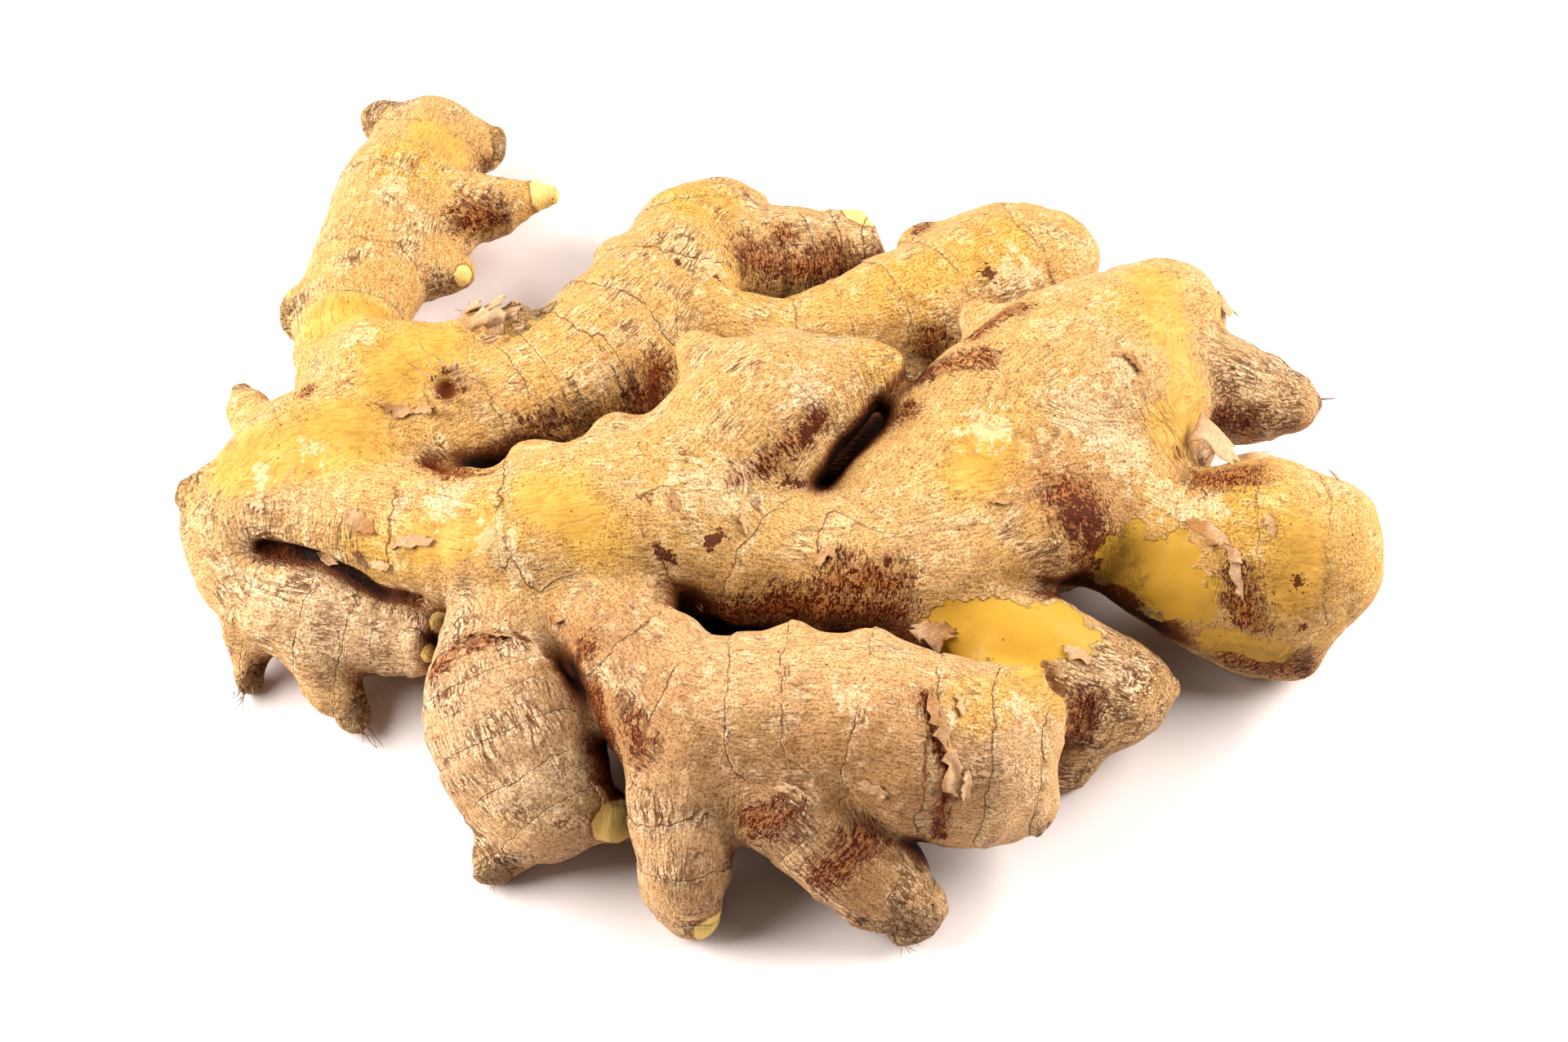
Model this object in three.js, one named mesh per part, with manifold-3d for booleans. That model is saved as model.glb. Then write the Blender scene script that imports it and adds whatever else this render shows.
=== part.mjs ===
// A hand of fresh ginger root, lying on its side as it is dug, washed and sold.
//
// The root grew as one body: a chain of swollen fingers, each budding from the
// one before, with short knobs where side shoots began or broke off. So it is
// one solid. Every finger is a bent, tapering lathe shape with rounded ends,
// and all of them are joined into a single mesh. Where the lowest fingers press
// on the table they are cut level, which gives the root its resting faces.
//
// Units are millimetres and +Z is up. The root stands on Z = 0, and the origin
// is below the middle of its outline. +X runs along the hand, from the finger
// that stands apart to the fattest one.

import * as THREE from "three";
import { mergeVertices } from "three/addons/utils/BufferGeometryUtils.js";
import Module from "manifold-3d";

// Growth rings: the skin is drawn in at each ring and swells between two of them.
const RING_SPACING = 12;
const RING_WAIST = 0.35;
const RING_SWELL = 0.3;

// Slow unevenness of the skin, in and out of a smooth finger.
const LUMP_HEIGHT = 0.7;
const LUMP_WIDTH = 8;

// Facets: sides round a finger and round a bud, and rings in each rounded end.
const FINGER_SIDES = 12;
const BUD_SIDES = 8;
const END_RINGS = 2;

// The thinnest that a finger's middle stretch may become, how near two points
// are when they are one, and the block below the table that cuts the root level.
const THINNEST_RADIUS = 0.8;
const WELD_DISTANCE = 1e-3;
const BLOCK_WIDTH = 400;
const BLOCK_DEPTH = 40;

// Each finger is a list of stations along its middle: x, y, z and radius.
const FINGERS = {
  // The left end of the hand, which bends back on itself.
  leftBody: [[-92, -14, 16, 6.5], [-86, -5, 19, 9], [-75, 0, 21, 11.5], [-56, 7, 21, 9]],
  leftHeel: [[-84, -12, 18, 8.5], [-74, -14, 19, 9.5], [-62, -14, 20, 10]],
  upperLeftFinger: [
    [-73, 14, 20, 8.5], [-74, 30, 17, 9], [-72, 44, 14, 10.5],
    [-70, 57, 11.5, 11], [-66, 69, 10, 10.7], [-63, 77, 10, 8],
  ],
  shootBase: [[-67, 12, 24, 8.5], [-58, 13, 26, 7.5], [-48, 20, 26, 4]],
  lowerLeftFinger: [
    [-91, -18, 13.5, 7], [-86, -24.5, 12, 8], [-80, -27.5, 12.5, 9], [-71, -29.5, 12, 8.3],
    [-60, -32.5, 13, 6.2],
  ],
  // The long middle trunk, and the finger that rides highest on it.
  middleTrunk: [
    [-68, -16, 21, 10], [-55, -20, 23, 11.5], [-42, -23, 25, 14], [-29, -22, 27, 15.5],
    [-16, -21, 27, 14.5], [-5, -24, 25, 12], [7, -26, 24, 11], [27, -26, 24, 12],
  ],
  centralFinger: [[-14, -14, 28, 14], [-6, -6, 32, 14], [2, 0, 34, 11.5], [9, 3, 34, 8], [14, 5, 34, 6]],
  // The right end: a broad body in two ridges, and the fingers that leave it.
  rightRidge: [
    [22, -16, 26, 11.5], [30, -6, 27, 13], [38, 3, 28, 14], [48, 10.5, 28, 14.7], [65, 24, 24.5, 11.6],
  ],
  rightSlope: [[22, -20, 24, 12], [36, -16, 25, 13.5], [48, -11, 24, 13.5], [58, -8, 23, 11.5]],
  rightFace: [[51, 3, 27, 13.5], [63, 6, 25, 10]],
  rightFinger: [
    [69, 14, 23, 9], [76, 12, 20.5, 9.3], [81, 11, 19.5, 8.3], [86, 10, 19.5, 6], [89, 10, 19.5, 2.5],
  ],
  fatFinger: [
    [51, -16, 22, 10.5], [60, -17.5, 21, 12], [67, -19.5, 20, 13], [75.5, -20.5, 19.5, 14.5],
    [83, -21.5, 19.5, 15], [87, -20.5, 19.5, 13.5],
  ],
  fatFingerFoot: [[70.5, -24, 17, 11], [77.5, -25, 13, 11.5], [82.5, -27, 9.2, 10], [84.5, -31, 8, 7]],
  rightShoulder: [[34, -25, 26, 9], [42, -22, 28, 10], [48, -20, 28, 8.5]],
  lowFinger: [
    [26, -30, 20, 10.5], [37, -37, 18, 11], [46, -42, 15, 12], [53, -43, 13, 10.5], [63, -42, 12, 3],
  ],
  // The front row.
  frontFinger: [
    [-47, -37, 22, 7], [-46, -45, 20, 10], [-43.5, -52, 17, 13], [-40.3, -58, 14, 12.5],
    [-36.5, -64, 12, 9.5],
  ],
  frontTrunk: [
    [-28, -38, 26, 8], [-20, -47.5, 25, 10.5], [-13.5, -55, 24, 12.9], [-4, -57, 24, 15],
    [9, -57, 24, 14.5], [20, -59, 23, 15], [31, -60, 22, 12.5],
  ],
  frontLegLeft: [[-15, -67, 20, 8.2], [-14.5, -73, 13, 8], [-14.5, -77, 7, 6.5], [-14, -79, 4, 4.7]],
  frontLegRight: [[1, -69, 20, 8.5], [10.5, -74, 13, 8.5], [17, -76.5, 8, 7.5], [21, -79, 5, 5.6]],
  // The back row.
  backFinger: [
    [-54, 3, 21, 10.5], [-43, 8, 21, 12], [-32, 16, 20.5, 13.5], [-22, 33, 17, 12], [-15, 50, 12, 11],
    [-10, 58, 9.5, 8.5],
  ],
  backSideFinger: [[-9, 47, 12, 9], [0, 50, 9, 9.5], [7, 52, 8, 8], [12, 52, 8.5, 6]],
  backRightFinger: [
    [-13, 28, 18, 7], [0, 26, 16, 6.8], [10, 28, 15.5, 8.3], [20, 31.5, 15, 10.8], [30, 37.5, 13, 12.2],
    [40, 43.5, 12, 13], [46.5, 46.5, 12, 10],
  ],
  // The older growth under the hand, which the upper fingers budded from.
  lowerTrunk: [
    [-62, -13, 14, 10], [-40, -20, 13, 13], [-14, -15, 13, 13.5],
    [12, -20, 13, 13.5], [36, -13, 14, 13], [54, -6, 15, 12],
  ],
  lowerFrontLobe: [[-34, -30, 10, 9], [-14, -39, 9, 9.5], [10, -41, 9, 9.5], [30, -38, 10, 9]],
  lowerBackLobe: [[-46, 3, 10, 8.5], [-22, 6, 9, 9.5], [4, 8, 9, 9.5], [26, 10, 9, 9.5]],
  lowerRightLobe: [[36, 2, 14, 12], [54, 8, 14, 11], [66, 4, 16, 8.5]],
  backRightRoot: [[18, 14, 9, 8.5], [19, 28, 9, 9]],
};

// Short side growths: buds, knobs and the stubs left by broken shoots.
const BUDS = {
  westScar: [[-93, -9, 19, 5.5], [-96.5, -8, 19, 4]],
  northWestBud: [[-87, 3, 20, 4.5], [-90, 9, 19, 3.5], [-91, 11.5, 19, 2]],
  crownKnob: [[-67, 76, 10, 6], [-72, 81, 10, 4.3]],
  crownSideKnob: [[-57, 78, 10, 4.5], [-53, 78, 10, 3]],
  pointedBud: [[-57, 58, 13, 7.5], [-51, 59, 13, 5.5], [-44.5, 61, 13, 2.8], [-40, 61.5, 13, 0.8]],
  sideNub: [[-61, 44, 14, 5], [-56.5, 43.5, 14, 3]],
  westSideScar: [[-79, 32, 16, 5.5], [-82, 32, 16, 4.5]],
  brokenShoot: [[-50, 18.5, 27, 4.6], [-44.5, 20, 28, 3.7]],
  lowerLeftBudHigh: [[-60, -32, 15.5, 4], [-56, -31.5, 16, 2.5]],
  lowerLeftBudLow: [[-60, -35.5, 12, 3.5], [-57, -36.5, 11.5, 1.8]],
  lowerLeftStub: [[-88, -29, 7.5, 4.5], [-88.5, -34.3, 2.5, 3]],
  lowerMiddleStub: [[-77, -34, 9, 5.5], [-73.5, -38.5, 5, 4.3], [-69.5, -42, 3, 2.2]],
  frontScar: [[-41, -66, 8, 5.5], [-45, -69.3, 3.4, 3.9]],
  frontBud: [[-31.5, -65, 11, 6], [-27.5, -66.5, 11, 4], [-24, -67.5, 11, 1]],
  frontNub: [[-34.5, -53.5, 20.5, 4.5], [-30.3, -54.7, 21.5, 2.6]],
  frontWeb: [[-41, -34, 24, 7.5], [-36, -39, 22, 6]],
  frontTipHigh: [[34, -56, 23, 8], [41.5, -56, 22, 4]],
  frontTipLow: [[33, -66, 17, 8], [41, -66, 14, 4.5]],
  frontTipBudBack: [[37, -52, 27, 4.5], [40.5, -51.5, 29.5, 2.3]],
  frontTipBudFront: [[40, -56, 25, 4.5], [43.5, -56, 27.5, 2.3]],
  frontBumpLeft: [[1.5, -47, 30, 4.7], [1.5, -45, 31, 3.2]],
  frontBumpRight: [[14.5, -49, 30, 5.2], [14.5, -47.5, 31, 3.1]],
  middleBumpLeft: [[-40, -14, 30, 6.7], [-40, -10.5, 31, 3.5]],
  middleBumpRight: [[-26, -10, 32, 8], [-26, -6, 33, 4]],
  centralBudLeft: [[-11, 5, 36, 6], [-14, 8.5, 36, 3.7]],
  centralBudRight: [[13, 6, 35, 5], [17.5, 6.5, 35, 3.5]],
  rightTopBump: [[39, 14, 30, 6.5], [34, 20, 30, 4]],
  rightNub: [[24, -3, 31, 5.5], [21, 1, 31, 3.3]],
  fatFingerBump: [[81, -20, 27, 8], [81.5, -14.5, 28, 4.6]],
  lowFingerKnob: [[47.5, -48, 9, 7.5], [47, -52, 3.7, 4.3]],
  backBumpLeft: [[-26, 42, 15, 6], [-29, 46, 15, 3.8]],
  backTopLeft: [[-14, 57, 11, 5.5], [-15.5, 60.5, 11, 3.4]],
  backTopRight: [[-6, 57.5, 10, 5], [-4.5, 60.5, 10, 3.2]],
  backSideBudHigh: [[11, 54, 10, 3.8], [14, 58, 10, 2]],
  backSideBudLow: [[12, 51, 9, 4.4], [16, 49.5, 9, 1.9]],
  backBumpNear: [[-36.5, 10, 22, 6], [-37.5, 3.5, 22, 5]],
  backRightBump: [[27.5, 44, 16, 5.7], [25.5, 47.5, 16, 3.6]],
  backRightNub: [[51, 46, 13, 3.5], [55, 47.5, 13, 1.3]],
};

// How far the skin stands in or out at a point, in millimetres.
function lump(point) {
  const across = Math.sin(point.x / LUMP_WIDTH + 1.7) * Math.sin(point.y / LUMP_WIDTH - 0.6);
  const upright = Math.sin(point.z / LUMP_WIDTH + point.x / (2 * LUMP_WIDTH));
  return LUMP_HEIGHT * (0.6 * across + 0.4 * upright);
}

// Cross-sections along a finger: a middle, a turn from +Y to the way the finger
// runs there, and a radius. The two ends close in half-round caps.
function sectionsAlong(stations) {
  const middles = stations.map(([x, y, z]) => new THREE.Vector3(x, y, z));
  const path = middles.length > 2
    ? new THREE.CatmullRomCurve3(middles, false, "centripetal")
    : new THREE.LineCurve3(...middles);
  const girth = new THREE.SplineCurve(stations.map(([, , , radius], i) => new THREE.Vector2(i, radius)));
  const length = path.getLength();
  const steps = Math.max(2, Math.round((2 * length) / RING_SPACING));
  const turn = new THREE.Quaternion();
  const heading = new THREE.Vector3(0, 1, 0);
  const sections = [];

  function addSection(middle, radius) {
    sections.push({ middle, radius, turn: turn.clone() });
  }

  function addEnd(middle, radius, sign) {
    for (let ring = 1; ring <= END_RINGS; ring += 1) {
      const share = sign < 0 ? END_RINGS + 1 - ring : ring;
      const angle = (share / END_RINGS) * (Math.PI / 2);
      const beyond = heading.clone().multiplyScalar(sign * radius * Math.sin(angle));
      const closes = share === END_RINGS;
      addSection(middle.clone().add(beyond), closes ? 0 : radius * Math.cos(angle));
    }
  }

  for (let i = 0; i <= steps; i += 1) {
    const t = i / steps;
    const next = path.getTangent(t);
    turn.premultiply(new THREE.Quaternion().setFromUnitVectors(heading, next));
    heading.copy(next);
    const middle = path.getPoint(t);
    const radius = Math.max(girth.getPoint(t).y, THINNEST_RADIUS);
    if (i === 0) addEnd(middle, radius, -1);
    const isRing = i % 2 === 0;
    addSection(middle, i === 0 || i === steps ? radius : radius + (isRing ? -RING_WAIST : RING_SWELL));
    if (i === steps) addEnd(middle, radius, 1);
  }
  return sections;
}

// One finger: a lathe shape whose rows are then carried onto the bent path.
function fingerGeometry(stations, sides) {
  const sections = sectionsAlong(stations);
  const profile = sections.map((section, row) => new THREE.Vector2(section.radius, row));
  const geometry = new THREE.LatheGeometry(profile, sides);
  const positions = geometry.getAttribute("position");
  const vertex = new THREE.Vector3();
  for (let i = 0; i < positions.count; i += 1) {
    vertex.fromBufferAttribute(positions, i);
    const section = sections[Math.round(vertex.y)];
    const outward = vertex.setY(0).applyQuaternion(section.turn);
    const place = outward.clone().add(section.middle);
    if (section.radius > 0) place.addScaledVector(outward.normalize(), lump(place));
    positions.setXYZ(i, place.x, place.y, place.z);
  }
  return geometry;
}

const wasm = await Module();
wasm.setup();

function toSolid(geometry) {
  const bare = new THREE.BufferGeometry();
  bare.setAttribute("position", geometry.getAttribute("position"));
  bare.setIndex(geometry.getIndex());
  const merged = mergeVertices(bare, WELD_DISTANCE);
  const mesh = new wasm.Mesh({
    numProp: 3,
    vertProperties: new Float32Array(merged.getAttribute("position").array),
    triVerts: new Uint32Array(merged.getIndex().array),
  });
  return new wasm.Manifold(mesh);
}

function toGeometry(solid) {
  const mesh = solid.getMesh();
  const geometry = new THREE.BufferGeometry();
  geometry.setAttribute("position", new THREE.BufferAttribute(mesh.vertProperties, 3));
  geometry.setIndex(new THREE.BufferAttribute(mesh.triVerts, 1));
  return geometry;
}

// The whole root: fingers and buds joined, then cut level with the table.
function rootGeometry() {
  const growths = [
    ...Object.values(FINGERS).map((stations) => fingerGeometry(stations, FINGER_SIDES)),
    ...Object.values(BUDS).map((stations) => fingerGeometry(stations, BUD_SIDES)),
  ];
  const joined = growths.map(toSolid).reduce((whole, growth) => whole.add(growth));
  const belowTable = new THREE.BoxGeometry(BLOCK_WIDTH, BLOCK_WIDTH, BLOCK_DEPTH)
    .translate(0, 0, -BLOCK_DEPTH / 2);
  const geometry = toGeometry(joined.subtract(toSolid(belowTable)));
  geometry.computeBoundingBox();
  const middle = geometry.boundingBox.getCenter(new THREE.Vector3());
  geometry.translate(-middle.x, -middle.y, 0);
  geometry.computeVertexNormals();
  return geometry;
}

const skin = new THREE.MeshStandardMaterial({ color: 0xd6a868, roughness: 0.6, metalness: 0 });

const rhizome = new THREE.Mesh(rootGeometry(), skin);
rhizome.name = "rhizome";

const gingerRoot = new THREE.Group();
gingerRoot.name = "ginger_root";
gingerRoot.add(rhizome);

export default gingerRoot;
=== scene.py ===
"""A hand of fresh ginger root lying on a pale table, in soft light.

The root is one body of swollen fingers. Its skin is thin, dry and papery over
firm yellow flesh: it wrinkles along each finger, it carries a brown ragged line
at each growth ring, and it has rubbed off in places. Lengths in the tables are
millimetres in the root's own frame; Blender gets metres.
"""

import math

import bpy
import numpy as np
import openvdb
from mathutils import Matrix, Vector


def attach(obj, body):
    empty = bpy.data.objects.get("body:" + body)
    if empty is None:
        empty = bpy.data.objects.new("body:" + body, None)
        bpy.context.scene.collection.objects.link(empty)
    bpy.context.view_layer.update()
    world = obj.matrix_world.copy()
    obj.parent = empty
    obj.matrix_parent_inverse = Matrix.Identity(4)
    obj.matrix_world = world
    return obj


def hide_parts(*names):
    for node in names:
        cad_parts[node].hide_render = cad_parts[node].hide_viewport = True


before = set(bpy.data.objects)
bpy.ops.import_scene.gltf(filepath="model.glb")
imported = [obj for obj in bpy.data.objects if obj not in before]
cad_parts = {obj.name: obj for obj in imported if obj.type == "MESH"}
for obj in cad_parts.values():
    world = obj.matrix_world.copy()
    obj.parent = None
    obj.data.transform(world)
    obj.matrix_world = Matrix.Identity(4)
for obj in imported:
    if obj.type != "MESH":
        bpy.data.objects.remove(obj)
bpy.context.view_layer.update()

MM = 0.001

# ---------------------------------------------------------------- the fingers
# Stations along the middle of each finger, from where it buds to its tip:
# x, y, z and radius. The same hand as the solid, in the same place to a millimetre.
FINGERS = {
    "left_body": [(-92, -14, 16, 6.5), (-86, -5, 19, 9), (-75, 0, 21, 11.5), (-56, 7, 21, 9)],
    "left_heel": [(-84, -12, 18, 8.5), (-74, -14, 19, 9.5), (-62, -14, 20, 10)],
    "upper_left_finger": [
        (-73, 14, 20, 8.5), (-74, 30, 17, 9), (-72, 44, 14, 10.5),
        (-70, 57, 11.5, 11), (-66, 69, 10, 10.7), (-63, 77, 10, 8),
    ],
    "shoot_base": [(-67, 12, 24, 8.5), (-58, 13, 26, 7.5), (-48, 20, 26, 4)],
    "lower_left_finger": [
        (-91, -18, 13.5, 7), (-86, -24.5, 12, 8), (-80, -27.5, 12.5, 9), (-71, -29.5, 12, 8.3),
        (-60, -32.5, 13, 6.2),
    ],
    "middle_trunk": [
        (-68, -16, 21, 10), (-55, -20, 23, 11.5), (-42, -23, 25, 14), (-29, -22, 27, 15.5),
        (-16, -21, 27, 14.5), (-5, -24, 25, 12), (7, -26, 24, 11), (27, -26, 24, 12),
    ],
    "central_finger": [(-14, -14, 28, 14), (-6, -6, 32, 14), (2, 0, 34, 11.5), (9, 3, 34, 8), (14, 5, 34, 6)],
    "right_ridge": [
        (22, -16, 26, 11.5), (30, -6, 27, 13), (38, 3, 28, 14), (48, 10.5, 28, 14.7),
        (65, 24, 24.5, 11.6),
    ],
    "right_slope": [(22, -20, 24, 12), (36, -16, 25, 13.5), (48, -11, 24, 13.5), (58, -8, 23, 11.5)],
    "right_face": [(51, 3, 27, 13.5), (63, 6, 25, 10)],
    "right_finger": [
        (69, 14, 23, 9), (76, 12, 20.5, 9.3), (81, 11, 19.5, 8.3), (86, 10, 19.5, 6),
        (89, 10, 19.5, 2.5),
    ],
    "fat_finger": [
        (51, -16, 22, 10.5), (60, -17.5, 21, 12), (67, -19.5, 20, 13), (75.5, -20.5, 19.5, 14.5),
        (83, -21.5, 19.5, 15), (87, -20.5, 19.5, 13.5),
    ],
    "fat_finger_foot": [
        (70.5, -24, 17, 11), (77.5, -25, 13, 11.5), (82.5, -27, 9.2, 10), (84.5, -31, 8, 7),
    ],
    "right_shoulder": [(34, -25, 26, 9), (42, -22, 28, 10), (48, -20, 28, 8.5)],
    "low_finger": [
        (26, -30, 20, 10.5), (37, -37, 18, 11), (46, -42, 15, 12), (53, -43, 13, 10.5),
        (63, -42, 12, 3),
    ],
    "front_finger": [
        (-47, -37, 22, 7), (-46, -45, 20, 10), (-43.5, -52, 17, 13), (-40.3, -58, 14, 12.5),
        (-36.5, -64, 12, 9.5),
    ],
    "front_trunk": [
        (-28, -38, 26, 8), (-20, -47.5, 25, 10.5), (-13.5, -55, 24, 12.9), (-4, -57, 24, 15),
        (9, -57, 24, 14.5), (20, -59, 23, 15), (31, -60, 22, 12.5),
    ],
    "front_leg_left": [
        (-15, -67, 20, 8.2), (-14.5, -73, 13, 8), (-14.5, -77, 7, 6.5), (-14, -79, 4, 4.7),
    ],
    "front_leg_right": [(1, -69, 20, 8.5), (10.5, -74, 13, 8.5), (17, -76.5, 8, 7.5), (21, -79, 5, 5.6)],
    "back_finger": [
        (-54, 3, 21, 10.5), (-43, 8, 21, 12), (-32, 16, 20.5, 13.5), (-22, 33, 17, 12),
        (-15, 50, 12, 11), (-10, 58, 9.5, 8.5),
    ],
    "back_side_finger": [(-9, 47, 12, 9), (0, 50, 9, 9.5), (7, 52, 8, 8), (12, 52, 8.5, 6)],
    "back_right_finger": [
        (-13, 28, 18, 7), (0, 26, 16, 6.8), (10, 28, 15.5, 8.3), (20, 31.5, 15, 10.8),
        (30, 37.5, 13, 12.2), (40, 43.5, 12, 13), (46.5, 46.5, 12, 10),
    ],
    "lower_trunk": [
        (-62, -13, 14, 10), (-40, -20, 13, 13), (-14, -15, 13, 13.5),
        (12, -20, 13, 13.5), (36, -13, 14, 13), (54, -6, 15, 12),
    ],
    "lower_front_lobe": [(-34, -30, 10, 9), (-14, -39, 9, 9.5), (10, -41, 9, 9.5), (30, -38, 10, 9)],
    "lower_back_lobe": [(-46, 3, 10, 8.5), (-22, 6, 9, 9.5), (4, 8, 9, 9.5), (26, 10, 9, 9.5)],
    "lower_right_lobe": [(36, 2, 14, 12), (54, 8, 14, 11), (66, 4, 16, 8.5)],
    "back_right_root": [(18, 14, 9, 8.5), (19, 28, 9, 9)],
}

# Short side growths: buds, knobs and the stubs left by broken shoots.
BUDS = {
    "west_scar": [(-93, -9, 19, 5.5), (-96.5, -8, 19, 4)],
    "north_west_bud": [(-87, 3, 20, 4.5), (-90, 9, 19, 3.5), (-91, 11.5, 19, 2)],
    "crown_knob": [(-67, 76, 10, 6), (-72, 81, 10, 4.3)],
    "crown_side_knob": [(-58, 76, 10, 6), (-54.3, 75.5, 10, 4.4)],
    "pointed_bud": [(-57, 58, 13, 7.5), (-51, 59, 13, 5.5), (-44.5, 61, 13, 2.8), (-40, 61.5, 13, 0.8)],
    "side_nub": [(-61, 44, 14, 5), (-56.5, 43.5, 14, 3)],
    "side_web": [(-62, 51, 12, 6.5), (-58.5, 51, 11.5, 4.5)],
    "west_side_scar": [(-79, 32, 16, 5.5), (-82, 32, 16, 4.5)],
    "broken_shoot": [(-50, 18.5, 27, 4.6), (-44.5, 20, 28, 3.7)],
    "lower_left_bud_high": [(-60, -32, 15.5, 4), (-56, -31.5, 16, 2.5)],
    "lower_left_bud_low": [(-60, -35.5, 12, 3.5), (-57, -36.5, 11.5, 1.8)],
    "lower_left_stub": [(-88, -29, 7.5, 4.5), (-88.5, -34.3, 2.5, 3)],
    "lower_middle_stub": [(-77, -34, 9, 5.5), (-73.5, -38.5, 5, 4.3), (-69.5, -42, 3, 2.2)],
    "front_scar": [(-41, -66, 8, 5.5), (-45, -69.3, 3.4, 3.9)],
    "front_bud": [(-31.5, -65, 11, 6), (-27.5, -66.5, 11, 4), (-24, -67.5, 11, 1)],
    "front_nub": [(-34.5, -53.5, 20.5, 4.5), (-30.3, -54.7, 21.5, 2.6)],
    "front_web": [(-41, -34, 24, 7.5), (-36, -39, 22, 6)],
    "front_tip_high": [(34, -56, 23, 8), (41.5, -56, 22, 4)],
    "front_tip_low": [(33, -66, 17, 8), (41, -66, 14, 4.5)],
    "front_tip_bud_back": [(37, -52, 27, 4.5), (40.5, -51.5, 29.5, 2.3)],
    "front_tip_bud_front": [(40, -56, 25, 4.5), (43.5, -56, 27.5, 2.3)],
    "front_bump_left": [(1.5, -47, 30, 4.7), (1.5, -45, 31, 3.2)],
    "front_bump_right": [(14.5, -49, 30, 5.2), (14.5, -47.5, 31, 3.1)],
    "middle_bump_left": [(-40, -14, 30, 6.7), (-40, -10.5, 31, 3.5)],
    "middle_bump_right": [(-26, -10, 32, 8), (-26, -6, 33, 4)],
    "central_bud_left": [(-11, 5, 36, 6), (-14, 8.5, 36, 3.7)],
    "central_bud_right": [(13, 6, 35, 5), (17.5, 6.5, 35, 3.5)],
    "right_top_bump": [(39, 14, 30, 6.5), (34, 20, 30, 4)],
    "right_nub": [(24, -3, 31, 5.5), (21, 1, 31, 3.3)],
    "fat_finger_bump": [(81, -20, 27, 8), (81.5, -14.5, 28, 4.6)],
    "low_finger_knob": [(47.5, -48, 9, 7.5), (47, -52, 3.7, 4.3)],
    "back_bump_left": [(-26, 42, 15, 6), (-29, 46, 15, 3.8)],
    "back_top_left": [(-14, 57, 11, 5.5), (-15.5, 60.5, 11, 3.4)],
    "back_top_right": [(-6, 57.5, 10, 5), (-4.5, 60.5, 10, 3.2)],
    "back_side_bud_high": [(11, 54, 10, 3.8), (14, 58, 10, 2)],
    "back_side_bud_low": [(12, 51, 9, 4.4), (16, 49.5, 9, 1.9)],
    "back_bump_near": [(-36.5, 10, 22, 6), (-37.5, 3.5, 22, 5)],
    "back_right_bump": [(27.5, 44, 16, 5.7), (25.5, 47.5, 16, 3.6)],
    "back_right_nub": [(51, 46, 13, 3.5), (55, 47.5, 13, 1.3)],
}

# Growths that melt into what they stand on all along, not only at their root.
MELTED = {
    "left_heel", "shoot_base", "right_slope", "right_face", "fat_finger_foot",
    "front_tip_high", "front_tip_low", "fat_finger_bump",
}
# Growths with a crease where they come out from under another.
CREASED = {
    "low_finger", "right_finger", "front_finger", "back_side_finger", "lower_left_finger",
    "right_shoulder", "lower_trunk", "lower_front_lobe", "lower_back_lobe", "lower_right_lobe",
    "back_right_root",
}

# How the skin looks on each finger: how strongly its growth rings show, how wrinkled
# it is and how golden, each from 0 to 1.
LOOKS = {
    "left_body": (0.3, 0.4, 0.7), "left_heel": (0.3, 0.6, 0.4), "upper_left_finger": (0.55, 0.45, 0.7),
    "shoot_base": (0.1, 0.4, 0.8), "lower_left_finger": (0.9, 0.5, 0.3), "middle_trunk": (0.85, 0.35, 0.6),
    "central_finger": (0.45, 0.45, 0.6), "right_ridge": (0.15, 0.3, 0.7), "right_slope": (0.2, 0.3, 0.6),
    "right_face": (0.1, 0.5, 0.4), "right_finger": (0.2, 0.78, 0.15), "right_shoulder": (0.1, 0.5, 0.5),
    "fat_finger": (0.5, 0.3, 0.9), "fat_finger_foot": (0.1, 0.5, 0.6), "low_finger": (0.4, 0.72, 0.35),
    "front_finger": (0.9, 0.6, 0.0), "front_trunk": (0.9, 0.4, 0.2), "front_leg_left": (0.8, 0.6, 0.1),
    "front_leg_right": (0.7, 0.7, 0.1), "back_finger": (0.8, 0.45, 0.8), "back_side_finger": (1.0, 0.5, 0.5),
    "back_right_finger": (0.6, 0.4, 0.8),
}
OTHER_LOOK = (0.5, 0.7, 0.3)

# How far along its finger each growth ring is, in millimetres.
RINGS = {
    "left_body": (5, 17, 33), "left_heel": (12, 24), "upper_left_finger": (6, 15, 29, 48, 63),
    "lower_left_finger": (9, 18, 26, 31), "middle_trunk": (11, 28, 49, 65, 78, 91),
    "central_finger": (7, 25, 34), "right_ridge": (17, 28, 42, 56), "right_slope": (2, 27),
    "right_finger": (2, 18), "fat_finger": (3, 13, 29, 40), "low_finger": (7, 22, 33),
    "front_finger": (5, 10, 13, 19, 27, 34), "front_trunk": (9, 19, 29, 38, 49, 61, 70),
    "front_leg_left": (3, 12), "front_leg_right": (5, 13, 20), "back_finger": (6, 12, 16, 24, 35, 49, 62),
    "back_side_finger": (1, 8, 14, 20), "back_right_finger": (25, 33, 44, 62),
}
OTHER_RINGS = range(6, 117, 11)

# The torn line of sheath that runs round the front of the root.
FRONT_RING = ((23, -60, 37.5), (24.4, -66.6, 35.1), (27.6, -70.6, 30.9), (25.3, -73.3, 26.1), (25.5, -74, 19))

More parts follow.
